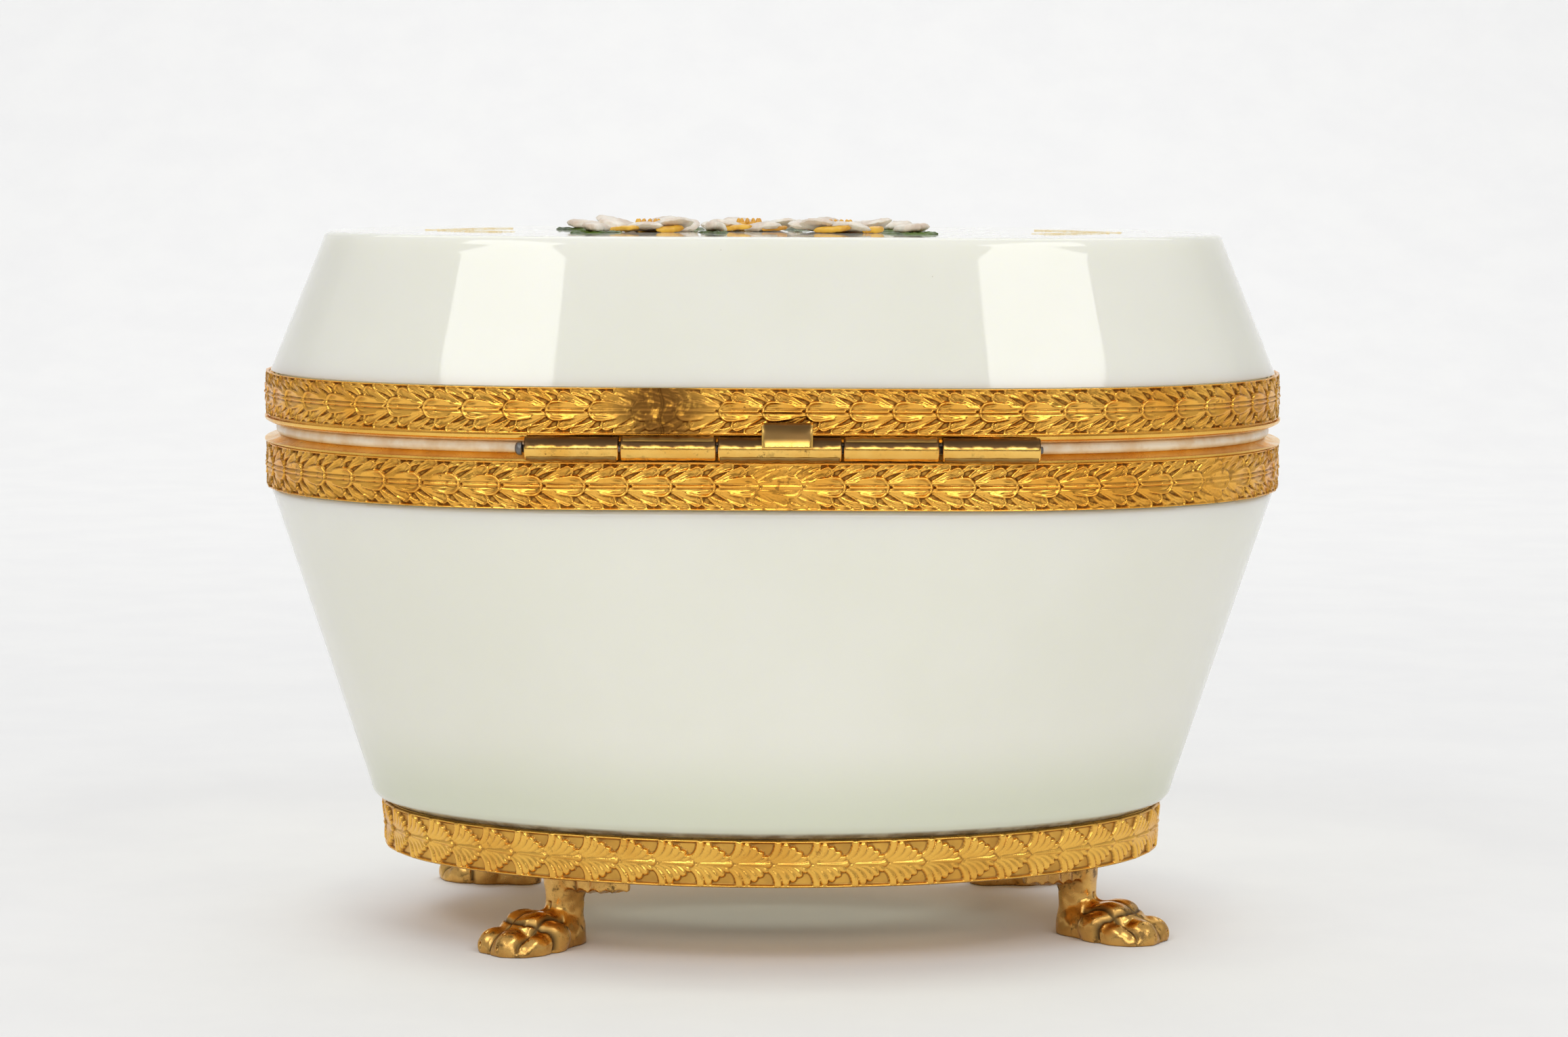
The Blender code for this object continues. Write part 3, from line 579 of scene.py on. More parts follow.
def smooth_noise(count, knots, seed):
    """Seeded closed wobble round a ring, from -1 to 1."""
    values = np.random.default_rng(seed).uniform(-1.0, 1.0, knots)
    place = np.arange(count) / count * knots
    low = place.astype(int)
    share = place - low
    share = share * share * (3.0 - 2.0 * share)
    return values[low % knots] * (1 - share) + values[(low + 1) % knots] * share


def rubbed(relief, outline, patches):
    """Flatten the relief where it is worn: (x, half width, share) on the back."""
    for x, half, share in patches:
        near = np.exp(-((outline[:, 0] - x) / half) ** 4) * (outline[:, 1] > 0) * share
        relief = relief * (1 - near[None]) + 0.62 * near[None]
    return relief


def handled(relief, outline, patches):
    """Brown blotches left in and round the worn places."""
    v = np.linspace(-1.0, 1.0, relief.shape[0])[:, None]
    x = outline[:, 0][None]
    grime = np.zeros_like(relief)
    for middle, half, share in patches:
        near = np.exp(-((x - middle) / half) ** 4) * (outline[:, 1] > 0)[None] * share
        grime = np.maximum(grime, near * soft_step(blotches(x, v, 9), 0.35, 0.95))
    return grime


def blotches(x, v, seed):
    """Uneven seeded spots over a strip; x in mm, v from -1 to 1 across it."""
    wave = np.zeros_like(x + v)
    for k, (turn, size) in enumerate(((0.4, 1.0), (1.5, 1.7), (2.5, 2.9), (0.9, 4.7))):
        c, s = math.cos(turn), math.sin(turn)
        wave = wave + lump((x * c + 3.0 * v * s) * size, (3.0 * v * c - x * s) * size,
                           seed + k) / size ** 0.4
    return wave


def soldered(relief, outline, rows, middle, half):
    """The joint of the strip: an open seam in a blotchy brown patch of solder."""
    v = np.linspace(-1.0, 1.0, rows)[:, None]
    x = outline[:, 0][None] + 0.22 * np.sin(v * 5.0)
    back = (outline[:, 1] > 0)[None]
    edge = half * (1.0 + 0.18 * np.sin(4.0 * v + 1.0))
    patch = np.exp(-((x - middle) / edge) ** 4) * back
    joint = np.exp(-((x - middle + 0.2) / 0.16) ** 2) * back
    blots = blotches(x, v, 5)
    relief = relief * (1 - 0.6 * patch) + 0.6 * patch * (0.5 + 0.10 * blots) - 0.35 * joint
    stain_and_shade = patch * soft_step(blots, -1.5, 0.0)
    return relief, np.maximum(stain_and_shade, joint)


def gallery(name, node, plan, tile, pitch, body, look, worn=(), taper=0.0, seam=None, seed=11):
    """Embossed strip: one unit of relief repeated round the plan."""
    low, high = cad_span(node, Z)
    repeats = round(plan_length(plan) / pitch)
    relief = np.tile(tile, (1, repeats))
    rows, columns = relief.shape
    outline, normal = plan_points(plan, columns)
    relief = relief * (0.93 + 0.07 * smooth_noise(columns, repeats * 2, seed))[None]
    relief = rubbed(relief, outline, worn)
    grime = handled(relief, outline, worn)
    if seam is not None:
        relief, stain_and_shade = soldered(relief, outline, rows, *seam)
        grime = np.maximum(grime, stain_and_shade)
    grime = np.maximum(grime, crevices(relief, 4))
    z = np.linspace(low, high, rows)
    inset = taper * (high - z) / (high - low)
    wobble = 0.05 * smooth_noise(columns, 60, seed + 1)
    offset = -inset[:, None] - EMBOSS - 0.06 + wobble[None] + EMBOSS * np.clip(relief, 0.0, 1.05)
    x, y = (outline[None, :, k] + normal[None, :, k] * offset for k in (0, 1))
    front = np.stack([x, y, np.broadcast_to(z[:, None], x.shape)], axis=-1)
    backs = []
    for row, height in ((-1, high - 0.05), (0, low + 0.05)):
        depth = -inset[row] - EMBOSS - 0.15
        backs.append(np.column_stack([outline + normal * depth, np.full(columns, height)]))
    points = np.concatenate([front, np.array(backs)], axis=0).reshape(-1, 3)
    blank = np.zeros((2, columns))
    add_piece(name, points, grid_faces(rows + 2, columns, True), look, body, node,
              relief=np.vstack([relief, blank]), grime=np.vstack([grime, blank]))


# ------------------------------------------------------------ rims and base ring

CHANNEL_STEPS = 720
GROOVE_RADIUS = 1.85            # round groove that clears the hinge tubes
# insets of the channels: their lip, the wall behind the gallery and the inner leg
LIP, WALL_OUT, WALL_IN, LEG_OUT, LEG_IN = 0.12, 0.8, 1.35, 6.15, 6.7
LID_LEDGE = 72.8


def groove(points, first, last, radius):
    """Push the points of a rim out of the round hinge groove."""
    y, z = points[:, 1] - AXIS_Y, points[:, 2] - AXIS_Z
    reach = np.hypot(y, z)
    inside = (points[:, 0] > first) & (points[:, 0] < last) & (reach < radius)
    scale = np.where(inside, radius / np.maximum(reach, 1e-6), 1.0)
    points[:, 1] = AXIS_Y + y * scale
    points[:, 2] = AXIS_Z + z * scale


def rim_channel(name, node, body, far, near, edge, ledge, leg_end, web):
    """Brass channel over the edge of the glass.

    Its wall behind the gallery runs from far to near, then come the curved edge, the
    ledge on which body and lid meet, and the inner leg; web is the height of its roof.
    """
    profile = [(WALL_OUT, far), (WALL_OUT, near), (LIP, near)] + edge
    profile += [(LEG_IN, ledge), (LEG_IN, leg_end), (LEG_OUT, leg_end), (LEG_OUT, web),
                (WALL_IN, web), (WALL_IN, far)]
    dense = []
    for (a, b), (c, d) in zip(profile, profile[1:] + profile[:1]):
        count = max(1, int(math.hypot(c - a, d - b) / 0.25))
        dense += [(a + (c - a) * k / count, b + (d - b) * k / count) for k in range(count)]
    points, faces = swept_ring(RIM_PLAN, dense, CHANNEL_STEPS)
    groove(points, PIN_LOW - 0.4, PIN_HIGH + 0.4, GROOVE_RADIUS)
    add_piece(name, points, faces, SMOOTH_GOLD, body, node, sharp=40.0)


def rims():
    top = RIM_HIGH
    hollow = smooth_profile([(LIP, top + 0.42), (0.9, top + 0.52), (1.9, top + 0.86),
                             (2.6, top + 1.35), (2.85, top + 1.65)], 5)
    rim_channel("body_rim_channel", "body_rim_frame", "body", RIM_LOW + 0.3, top + 0.2, hollow,
                72.3, 67.0, 70.1)
    low = LID_LOW
    lip = smooth_profile([(LIP, low - 0.42), (0.3, low - 0.70), (0.9, low - 0.98),
                          (1.7, low - 1.15), (2.3, low - 1.2)], 5)
    rim_channel("lid_rim_channel", "lid_rim_frame", "lid", LID_HIGH - 0.2, low - 0.2,
                lip + [(3.7, low - 1.2), (3.8, LID_LEDGE)], LID_LEDGE, 78.0, 74.9)


def closing_bead():
    """Pale worn bead round the top of the body rim, where the lid closes on it."""
    inset, height, steps = 2.35, 72.55, 28
    profile = [(inset - 0.62 * math.cos(TAU * k / steps), height - 0.80 * math.sin(TAU * k / steps))
               for k in range(steps)]
    add_piece("closing_bead", *swept_ring(RIM_PLAN, profile), PALE_BRASS, "body")


def base_ring():
    """Angle ring: upright wall behind the gallery and a flat shelf."""
    bottom, top = cad_span("base_ring_frame", Z)
    shelf, thick = 20.0, 1.0
    profile = [(0.95, top - 0.15), (1.35, bottom + 0.25), (1.6, bottom + 0.05), (1.9, bottom),
               (shelf - 0.2, bottom), (shelf, bottom + 0.15), (shelf, bottom + 0.85),
               (shelf - 0.2, bottom + thick), (2.1, bottom + thick), (1.6, top - 0.1),
               (1.45, top), (1.05, top)]
    add_piece("base_ring", *swept_ring(BASE_PLAN, profile), SMOOTH_GOLD, "body",
              "base_ring_frame", sharp=40.0)


def cements():
    """Beds of plaster between glass and metal."""
    for node, body, plan, outer, inner in (("body_rim_cement", "body", RIM_PLAN, 1.6, 1.95),
                                           ("lid_rim_cement", "lid", RIM_PLAN, 1.6, 1.95),
                                           ("base_cement", "body", BASE_PLAN, 5.0, 16.0)):
        low, high = cad_span(node, Z)
        profile = [(outer, high), (outer, low), (inner, low), (inner, high)]
        add_piece(node + "_bed", *swept_ring(plan, profile), PLASTER, body, node, sharp=40.0)


# ------------------------------------------------------------ sculpted solids

def surface_nets(field, low, step):
    """Closed quad mesh of the surface field = 0 on a regular grid."""
    shape = tuple(n - 1 for n in field.shape)
    total, count = np.zeros(shape + (3,)), np.zeros(shape)

    def corner(i, j, k):
        return field[i:i + shape[0], j:j + shape[1], k:k + shape[2]]

    for axis in range(3):
        for first in ((0, 0), (0, 1), (1, 0), (1, 1)):
            a = list(first)
            a.insert(axis, 0)
            b = list(first)
            b.insert(axis, 1)
            va, vb = corner(*a), corner(*b)
            cross = (va < 0) != (vb < 0)
            share = np.where(cross, va / np.where(cross, va - vb, 1.0), 0.0)
            for d in range(3):
                total[..., d] += np.where(cross, share if d == axis else a[d], 0.0)
            count += cross
    used = count > 0
    index = np.full(shape, -1)
    index[used] = np.arange(used.sum())
    points = (np.argwhere(used) + total[used] / count[used][:, None]) * step + low
    inside = field < 0
    faces = []
    for axis in range(3):
        grid = np.moveaxis(inside, axis, 0)
        cells = np.moveaxis(index, axis, 0)
        here, there = grid[:-1, 1:-1, 1:-1], grid[1:, 1:-1, 1:-1]
        ring = np.stack([cells[:, :-1, :-1], cells[:, 1:, :-1], cells[:, 1:, 1:],
                         cells[:, :-1, 1:]], axis=-1)
        flip = axis == 1
        out = ring[here & ~there]
        back = ring[there & ~here]
        faces.append(out[:, ::-1] if flip else out)
        faces.append(back if flip else back[:, ::-1])
    return points, np.concatenate(faces)


def blurred(field):
    for axis in range(3):
        field = (np.roll(field, 1, axis) + field + np.roll(field, -1, axis)) / 3.0
    return field


def sampled(field, points, low, step):
    """Values of a grid at points, from the nearest node."""
    cell = np.rint((points - low) / step).astype(int)
    cell = np.clip(cell, 0, np.array(field.shape) - 1)
    return field[cell[:, 0], cell[:, 1], cell[:, 2]]


def sculpt(shape, low, high, step):
    """Mesh of a distance function, with how deep each point lies as relief."""
    low = np.array(low, float)
    counts = [int(round((b - a) / step)) + 1 for a, b in zip(low, high)]
    axes = [a + step * np.arange(n) for a, n in zip(low, counts)]
    u, v, z = np.meshgrid(*axes, indexing="ij")
    field = shape(u, v, z)
    points, faces = surface_nets(field, low, step)
    soft = blurred(blurred(blurred(field)))
    hollow = sampled(field - soft, points, low, step)
    return points, faces, np.clip(0.55 - 5.0 * hollow, 0.0, 1.0)


def ball(spot, middle, radii):
    """Rough distance to an ellipsoid."""
    away = [s - m for s, m in zip(spot, middle)]
    k0 = np.sqrt(sum((a / r) ** 2 for a, r in zip(away, radii)))
    k1 = np.sqrt(sum((a / r ** 2) ** 2 for a, r in zip(away, radii)))
    return k0 * (k0 - 1.0) / np.maximum(k1, 1e-6)


def rod(spot, first, last, radius, last_radius):
    """Distance to a round bar between two points, with a radius at each."""
    a, d = np.array(first), np.array(last) - np.array(first)
    t = np.clip(sum((s - p) * q for s, p, q in zip(spot, a, d)) / (d @ d), 0.0, 1.0)
    away = np.sqrt(sum((s - p - t * q) ** 2 for s, p, q in zip(spot, a, d)))
    return away - (radius + (last_radius - radius) * t)


def melt(a, b, k):
    """Union of two distances with a fillet of about k."""
    h = np.clip(0.5 + 0.5 * (b - a) / k, 0.0, 1.0)
    return b + (a - b) * h - k * h * (1.0 - h)


# ------------------------------------------------------------ feet

# leg centre x and y, heading of the toes in degrees, side of the long leaf
FEET = (("foot_back_left", 29.2, 19.8, 40.0, 1.0), ("foot_back_right", -44.2, 11.5, 150.0, -1.0),
        ("foot_front_left", 38.4, -26.3, -27.0, 1.0),
        ("foot_front_right", -33.5, -27.2, 205.0, -1.0))
FOOT_TOP = 11.05
PAW_TOP = 6.4                   # grooves reach up to here
# swellings of the paw: middle along, across and up, then half sizes
TOES = ((10.9, -1.80, 1.0, 2.7, 1.95, 2.35), (10.8, 2.00, 1.0, 2.7, 2.05, 2.45),
        (8.2, -4.20, 0.9, 2.2, 1.4, 1.9), (8.1, 4.20, 0.9, 2.3, 1.5, 2.0))
KNUCKLE_BUMPS = ((6.3, -1.80, 2.7, 3.2, 1.9, 2.65), (6.2, 1.95, 2.7, 3.3, 2.0, 2.75),
                 (4.8, -4.00, 2.0, 2.6, 1.3, 2.0), (4.7, 4.00, 2.0, 2.6, 1.4, 2.1))
# grooves between toes and knuckles, as lines (along, across) seen from above
CREASES = (((2.6, 0.0), (8.8, 0.05), (14.0, 0.1)), ((2.2, -2.3), (7.2, -3.3), (11.4, -3.9)),
           ((2.2, 2.4), (7.2, 3.5), (11.4, 4.1)),
           ((5.4, -5.4), (6.9, -4.0), (8.9, -2.2), (9.2, 0.0), (8.8, 2.4), (6.8, 4.2), (5.3, 5.5)))
# leg: height, middle along the foot, half length, half width
LEG = ((0.0, 0.0, 2.3, 2.2), (4.0, 0.0, 2.5, 2.1), (6.4, 0.0, 2.6, 2.1), (7.8, -0.3, 2.9, 2.4),
       (9.2, -1.2, 3.8, 3.1), (10.4, -1.9, 4.6, 3.8), (11.3, -2.1, 4.8, 4.1))


def squarish_leg(u, v, z):
    levels, middle, long, wide = np.array(LEG).T
    m, a, b = (np.interp(z, levels, column) for column in (middle, long, wide))
    around = ((np.abs(u - m) / a) ** 3.2 + (np.abs(v) / b) ** 3.2) ** (1 / 3.2)
    return (around - 1.0) * np.minimum(a, b)


def crease_depth(u, v):
    """How near a point lies to the grooves of the paw, from 0 to 1."""
    nearest = np.full(np.shape(u), 9.0)
    for line in CREASES:
        for (a, b), (c, d) in zip(line, line[1:]):
            run = ((u - a) * (c - a) + (v - b) * (d - b)) / ((c - a) ** 2 + (d - b) ** 2)
            run = np.clip(run, 0.0, 1.0)
            nearest = np.minimum(nearest, np.hypot(u - a - run * (c - a), v - b - run * (d - b)))
    return np.exp(-(nearest / 0.24) ** 2)


def paw_shape(u, v, z):
    """Lion's paw with its leg and leaf brackets; u runs towards the toes."""
    spot = (u, v, z)
    leg = squarish_leg(u, v, z)
    heel = ball(spot, (-0.3, 0.0, 1.2), (2.8, 2.5, 3.7))
    palm = ball(spot, (3.2, 0.0, 0.8), (5.2, 3.6, 4.3))
    palm = melt(palm, ball(spot, (5.9, 0.0, 0.3), (5.2, 5.2, 5.1)), 0.6)
    palm = melt(palm, ball(spot, (9.3, 0.0, 0.2), (4.1, 5.4, 3.2)), 0.5)
    paw = melt(melt(leg, heel, 0.8), palm, 1.3)
    for bump in KNUCKLE_BUMPS:
        paw = melt(ball(spot, bump[:3], bump[3:]), paw, 0.7)
    for toe_u, toe_v, toe_z, long, wide, high in TOES:
        toe = ball(spot, (toe_u, toe_v, toe_z), (long, wide, high))
        crease = rod(spot, (toe_u + 0.9, toe_v * 1.02, high + 1.2),
                     (toe_u + long + 0.1, toe_v * 1.05, 0.6), 0.14, 0.30)
        paw = melt(np.maximum(toe, -crease), paw, 0.45)
    paw = paw + 0.32 * crease_depth(u, v) * (z < PAW_TOP)
    # leaf brackets with scalloped sides and sunk veins underneath
    run = np.clip((-u - 1.0) / 10.0, 0.0, 1.0)
    half = 4.3 * np.sqrt(np.clip(1.0 - run ** 1.6, 0.0, 1.0)) * (0.86 + 0.14 * np.abs(
        np.cos(run * 3.5 * math.pi)))
    under = 9.0 + 0.9 * run + 0.24 * np.cos(TAU * (np.abs(v) * 0.42 - u * 0.30))
    under += 0.05 * v * v
    leaf = np.maximum(np.maximum(np.abs(v) - half, under - z), u - 1.0)
    leaf = np.maximum(leaf * 0.8, -11.0 - u)
    # the long leaf follows the ring: its middle line bends inwards
    out = np.clip(v / 11.6, 0.0, 1.0)
    middle = -1.4 - 0.9 * out ** 2
    half = 3.1 * np.sqrt(np.clip(1.0 - out ** 2.4, 0.0, 1.0)) * (0.84 + 0.16 * np.abs(
        np.cos(out * 4.5 * math.pi)))
    under = 7.5 + 1.3 * out ** 2
    under += 0.40 * np.abs(np.sin(TAU * (v * 0.22 - np.abs(u - middle) * 0.15)))
    under += 0.06 * (u - middle) ** 2
    arm = np.maximum(np.maximum(np.abs(u - middle) - half, under - z), 1.0 - v)
    solid = melt(melt(paw, leaf, 0.5), np.maximum(arm * 0.8, v - 11.7), 0.3)
    solid = solid + 0.05 * np.sin(2.1 * u + 0.7) * np.sin(2.6 * v) * np.sin(2.3 * z + 1.0)
    return np.maximum(np.maximum(solid, -z), z - FOOT_TOP)


def feet():
    points, faces, relief = sculpt(paw_shape, (-12.0, -6.6, -0.6), (14.6, 12.6, 11.8), 0.18)
    crease = crease_depth(points[:, 0], points[:, 1]) * (points[:, 2] > 0.4)
    # painted shade along the lowest quarter millimetre, where the paw stands on the floor, and
    # brown in the grooves of the paw
    grime = np.maximum(np.clip((0.25 - points[:, 2]) / 0.5, 0.0, 0.6),
                       0.85 * crease * (points[:, 2] < PAW_TOP))
    for name, x, y, heading, side in FEET:
        add_piece(name.replace("foot", "paw"),
                  spin(points * (1.0, side, 1.0), math.radians(heading), x, y), faces,
                  FOOT_BRONZE, "body", name, relief=relief, grime=np.clip(grime, 0.0, 1.0))


# ------------------------------------------------------------ hinge

KNUCKLE_RADIUS = 1.6
BORE_RADIUS = 0.8
ROUND = 96


def turned(stations, closed):
    """Points and faces of a piece turned on the hinge axis from (x, radius) stations."""
    angles = TAU * np.arange(ROUND) / ROUND
    rows = [np.column_stack([np.full(ROUND, x), AXIS_Y + radius * np.cos(angles),
                             AXIS_Z + radius * np.sin(angles)]) for x, radius in stations]
    faces = grid_faces(len(rows), ROUND, True) if closed else tube_faces(len(rows), ROUND)
    return np.concatenate(rows), faces


def hinge_painted_shade(points):
    """Painted shade on a knuckle: its upper half is brown and rough, as in the shadow of the rim
    strip above; its lower half stays bright.
    """
    turn = np.degrees(np.arctan2(points[:, 2] - AXIS_Z, points[:, 1] - AXIS_Y))
    edge = 8.0 + 4.0 * np.sin(points[:, 0] * 1.3) + 3.0 * np.sin(points[:, 0] * 4.1 + 1.0)
    return soft_step(turn, edge, edge + 14.0)


def knuckles():
    edge, bevel = 0.16, KNUCKLE_RADIUS - 0.16 * 0.35
    for number, body in enumerate(("body", "lid", "body", "lid", "body"), 1):
        node = f"hinge_knuckle_{number}"
        first, last = cad_span(node, X)
        stations = [(first, BORE_RADIUS), (first, KNUCKLE_RADIUS - edge),
                    (first + edge * 0.4, bevel), (first + edge, KNUCKLE_RADIUS)]
        for x in np.arange(first + 0.7, last - 0.6, 0.5):
            stations.append((x, KNUCKLE_RADIUS - 0.025 + 0.02 * math.sin(x * 1.7)))
        stations += [(last - edge, KNUCKLE_RADIUS), (last - edge * 0.4, bevel),
                     (last, KNUCKLE_RADIUS - edge), (last, BORE_RADIUS)]
        points, faces = turned(stations, True)
        add_piece(f"knuckle_{number}", points, faces, HINGE_GOLD, body, node, sharp=40.0,
                  relief=0.6, grime=hinge_painted_shade(points))
        solder_bead(f"solder_{number}", first + 0.25, last - 0.25, body)


def solder_bead(name, first, last, body):
    """Uneven fillet that joins a knuckle to its own rim, above or below."""
    side = 1.0 if body == "lid" else -1.0
    steps = int((last - first) / 0.25) + 2
    x = np.linspace(first, last, steps)
    swell = 0.5 + 0.22 * np.sin(x * 1.9) + 0.16 * np.sin(x * 4.7 + 2.0)
    section = []
    start, end = 40.0, 118.0
    for degrees in np.linspace(start, end, 12):
        bulge = 0.10 + 0.22 * np.sin(math.pi * (degrees - start) / (end - start)) * swell
        section.append((degrees, KNUCKLE_RADIUS - 0.06 + bulge))
    section += [(degrees, np.full(steps, 1.35)) for degrees in (110.0, 50.0)]
    rows = [np.column_stack([x, AXIS_Y + radius * math.cos(math.radians(degrees)),
                             AXIS_Z + side * radius * math.sin(math.radians(degrees))])
            for degrees, radius in section]
    count = len(rows)
    faces = grid_faces(count, steps, True, False)[:, ::-1].tolist()
    faces.append([k * steps for k in range(count)])
    faces.append([k * steps + steps - 1 for k in range(count)][::-1])
    add_piece(name, np.concatenate(rows), faces, HINGE_GOLD, body, relief=0.3, grime=0.75)


def hinge_pin():
    first, last = PIN_LOW, PIN_HIGH
    head, head_radius, shaft = last - 1.0, 0.95, 0.5
    stations = [(first, 0.34), (first + 0.12, shaft), (head - 0.3, shaft), (head, shaft + 0.05),
                (head + 0.02, head_radius - 0.08), (head + 0.12, head_radius),
                (last - 0.45, head_radius - 0.02), (last - 0.2, head_radius * 0.78),
                (last - 0.05, head_radius * 0.45), (last, head_radius * 0.12)]
    add_piece("pin_and_head", *turned(stations, False), PIN_STEEL, "body", "hinge_pin")


def stop_lug():
    """Upright half-round tab on the lid that meets the body rim when it is open."""
    low, high = cad_box("lid_stop_lug")
    outer = smooth_profile([(0.12, 3.50), (0.6, 3.56), (1.3, 3.25), (1.85, 2.5), (2.15, 1.6),
                            (2.32, 0.8), (2.38, 0.30), (2.25, 0.17)], 4)
    inner = [(1.9 * math.cos(a), 1.9 * math.sin(a)) for a in np.radians(np.linspace(5.0, 88.0, 14))]
    profile = outer + inner
    half = (high[0] - low[0]) / 2.0
    rows = []
    sides = np.sin(np.linspace(-math.pi / 2.0, math.pi / 2.0, 25))
    for side in sides:
        # the face is flat across and falls back only close to its upright sides
        back = 1.0 - 0.12 * abs(side) ** 12.0
        for k, (a, b) in enumerate(profile):
            reach = max(a * back, 0.1) if k < len(outer) else a
            rows.append((low[0] + half * (1.0 + side), AXIS_Y + reach, AXIS_Z + b))
    points = np.array(rows)
    # painted shade: the upper part of the tab is darkened brown, like the knuckle tops; the
    # outermost sides are left bright where rubbed
    up = soft_step(points[:, 2] - AXIS_Z, 0.7, 1.6)
    worn = 1.0 - soft_step(np.abs(points[:, 0] - low[0] - half) / half, 0.90, 0.98)
    add_piece("stop_lug", points, tube_faces(len(sides), len(profile)), HINGE_GOLD, "lid",
              "lid_stop_lug", sharp=45.0, relief=0.6, grime=up * 0.93 * worn)


def thumb_tab():
    """Shell-shaped thumb piece at the front: fluted in front, flat behind."""
    low, high = cad_box("thumb_tab")
    flutes, rows = 61, 26
    share = np.linspace(0.0, 1.0, rows)[:, None]
    a = np.linspace(-1.0, 1.0, flutes)[None]
    z = low[2] + (high[2] - low[2]) * share + 0.0 * a
    half = high[0] * np.sin(math.pi * (0.10 + 0.86 * share)) ** 0.55
    swing = 0.75 * np.exp(-((share - 0.08) / 0.16) ** 2)
    crown = 1.35 * np.sqrt(1.0 - np.abs(a) ** 2.2)
    crown = crown * np.sqrt(np.sin(math.pi * (0.06 + 0.90 * share)))
    wave = 0.5 + 0.5 * np.cos(9.0 * math.pi * a) + 0.0 * share
    y = -RIM_PLAN[1] - 0.35 - crown * (0.80 + 0.20 * wave) - swing * (1.0 - a * a)
    front = np.stack([a * half, np.maximum(y, low[1]), z], axis=-1).reshape(-1, 3)
    back = np.stack([a * half, np.full(z.shape, -RIM_PLAN[1] - 0.3), z], axis=-1).reshape(-1, 3)
    grid = np.arange(rows * flutes).reshape(rows, flutes)
    edge = np.concatenate([grid[0, :-1], grid[:-1, -1], grid[-1, :0:-1], grid[:0:-1, 0]])
    after = np.roll(edge, -1)
    quads = grid_faces(rows, flutes, False, False)
    faces = np.concatenate([quads, quads[:, ::-1] + len(front), np.column_stack(
        [after, edge, edge + len(front), after + len(front)])])
    relief = np.concatenate([(0.25 + 0.6 * wave).ravel(), np.full(len(back), 0.4)])
    add_piece("shell_thumb_piece", np.vstack([front, back]), faces, (GALLERY_GOLD[0], "gilt_brass"),
              "lid", "thumb_tab", sharp=50.0, relief=relief, grime=0.0)


# ------------------------------------------------------------ lid flowers

FLOWERS = (("flower_left", 18.0, 3.0, 8.2, 20.0), ("flower_middle", 3.6, -4.6, 7.6, 50.0),
           ("flower_right", -9.6, 3.6, 8.0, -10.0))
LEAVES = (("leaf_1", 27.6, -6.2, -25.0, 9.5), ("leaf_2", 25.0, 13.2, 38.0, 9.0),
          ("leaf_3", 8.4, 9.6, 100.0, 9.0), ("leaf_4", -3.6, -14.4, -100.0, 9.0),
          ("leaf_5", -18.0, -6.6, 205.0, 9.5), ("leaf_6", -19.4, 12.6, 150.0, 9.0),
          ("leaf_7", 12.6, -13.8, -70.0, 8.5))
PETALS = 6
PETAL_TOP = 2.45                # highest petal edge above the lid
ENAMEL_SEAT = LID_TOP - 0.04    # enamel is fused to the glass


def relief_patch(outline_u, outline_v, height, rings):
    """Closed mound: concentric rings of an outline, lifted by height(share).

    Returns points and faces; the last ring goes straight down to the seat.
    """
    steps = len(outline_u)
    share = np.arange(1, rings + 1)[:, None] / rings * np.ones(steps)
    u, v = outline_u * share, outline_v * share
    mound = np.stack([u, v, height(u, v, share)], axis=-1).reshape(-1, 3)
    crown = [[0.0, 0.0, height(*np.zeros((3, 1)))[0]]]
    seat = np.column_stack([outline_u * 0.99, outline_v * 0.99, np.zeros(steps)])
    faces = [(0, 1 + k, 1 + (k + 1) % steps) for k in range(steps)]
    faces += (grid_faces(rings + 1, steps, False)[:, ::-1] + 1).tolist()
    faces.append([1 + rings * steps + k for k in range(steps)][::-1])
    return np.vstack([crown, mound, seat]), faces


def placed(points, x, y, heading):
    return spin(points, math.radians(heading), x, y, ENAMEL_SEAT)


def joined(parts):
    """One point list and face list from several (points, faces)."""
    points, faces, start = [], [], 0
    for part_points, part_faces in parts:
        points.append(part_points)
        faces += [[i + start for i in face] for face in part_faces]
        start += len(part_points)
    return np.concatenate(points), faces


def add_enamel(name, parts, x, y, look, *nodes, sharp=None):
    """Parts fused into one piece on the lid at (x, y)."""
    points, faces = joined(parts)
    add_piece(name, placed(points, x, y, 0.0), faces, look, "lid", *nodes, sharp=sharp)


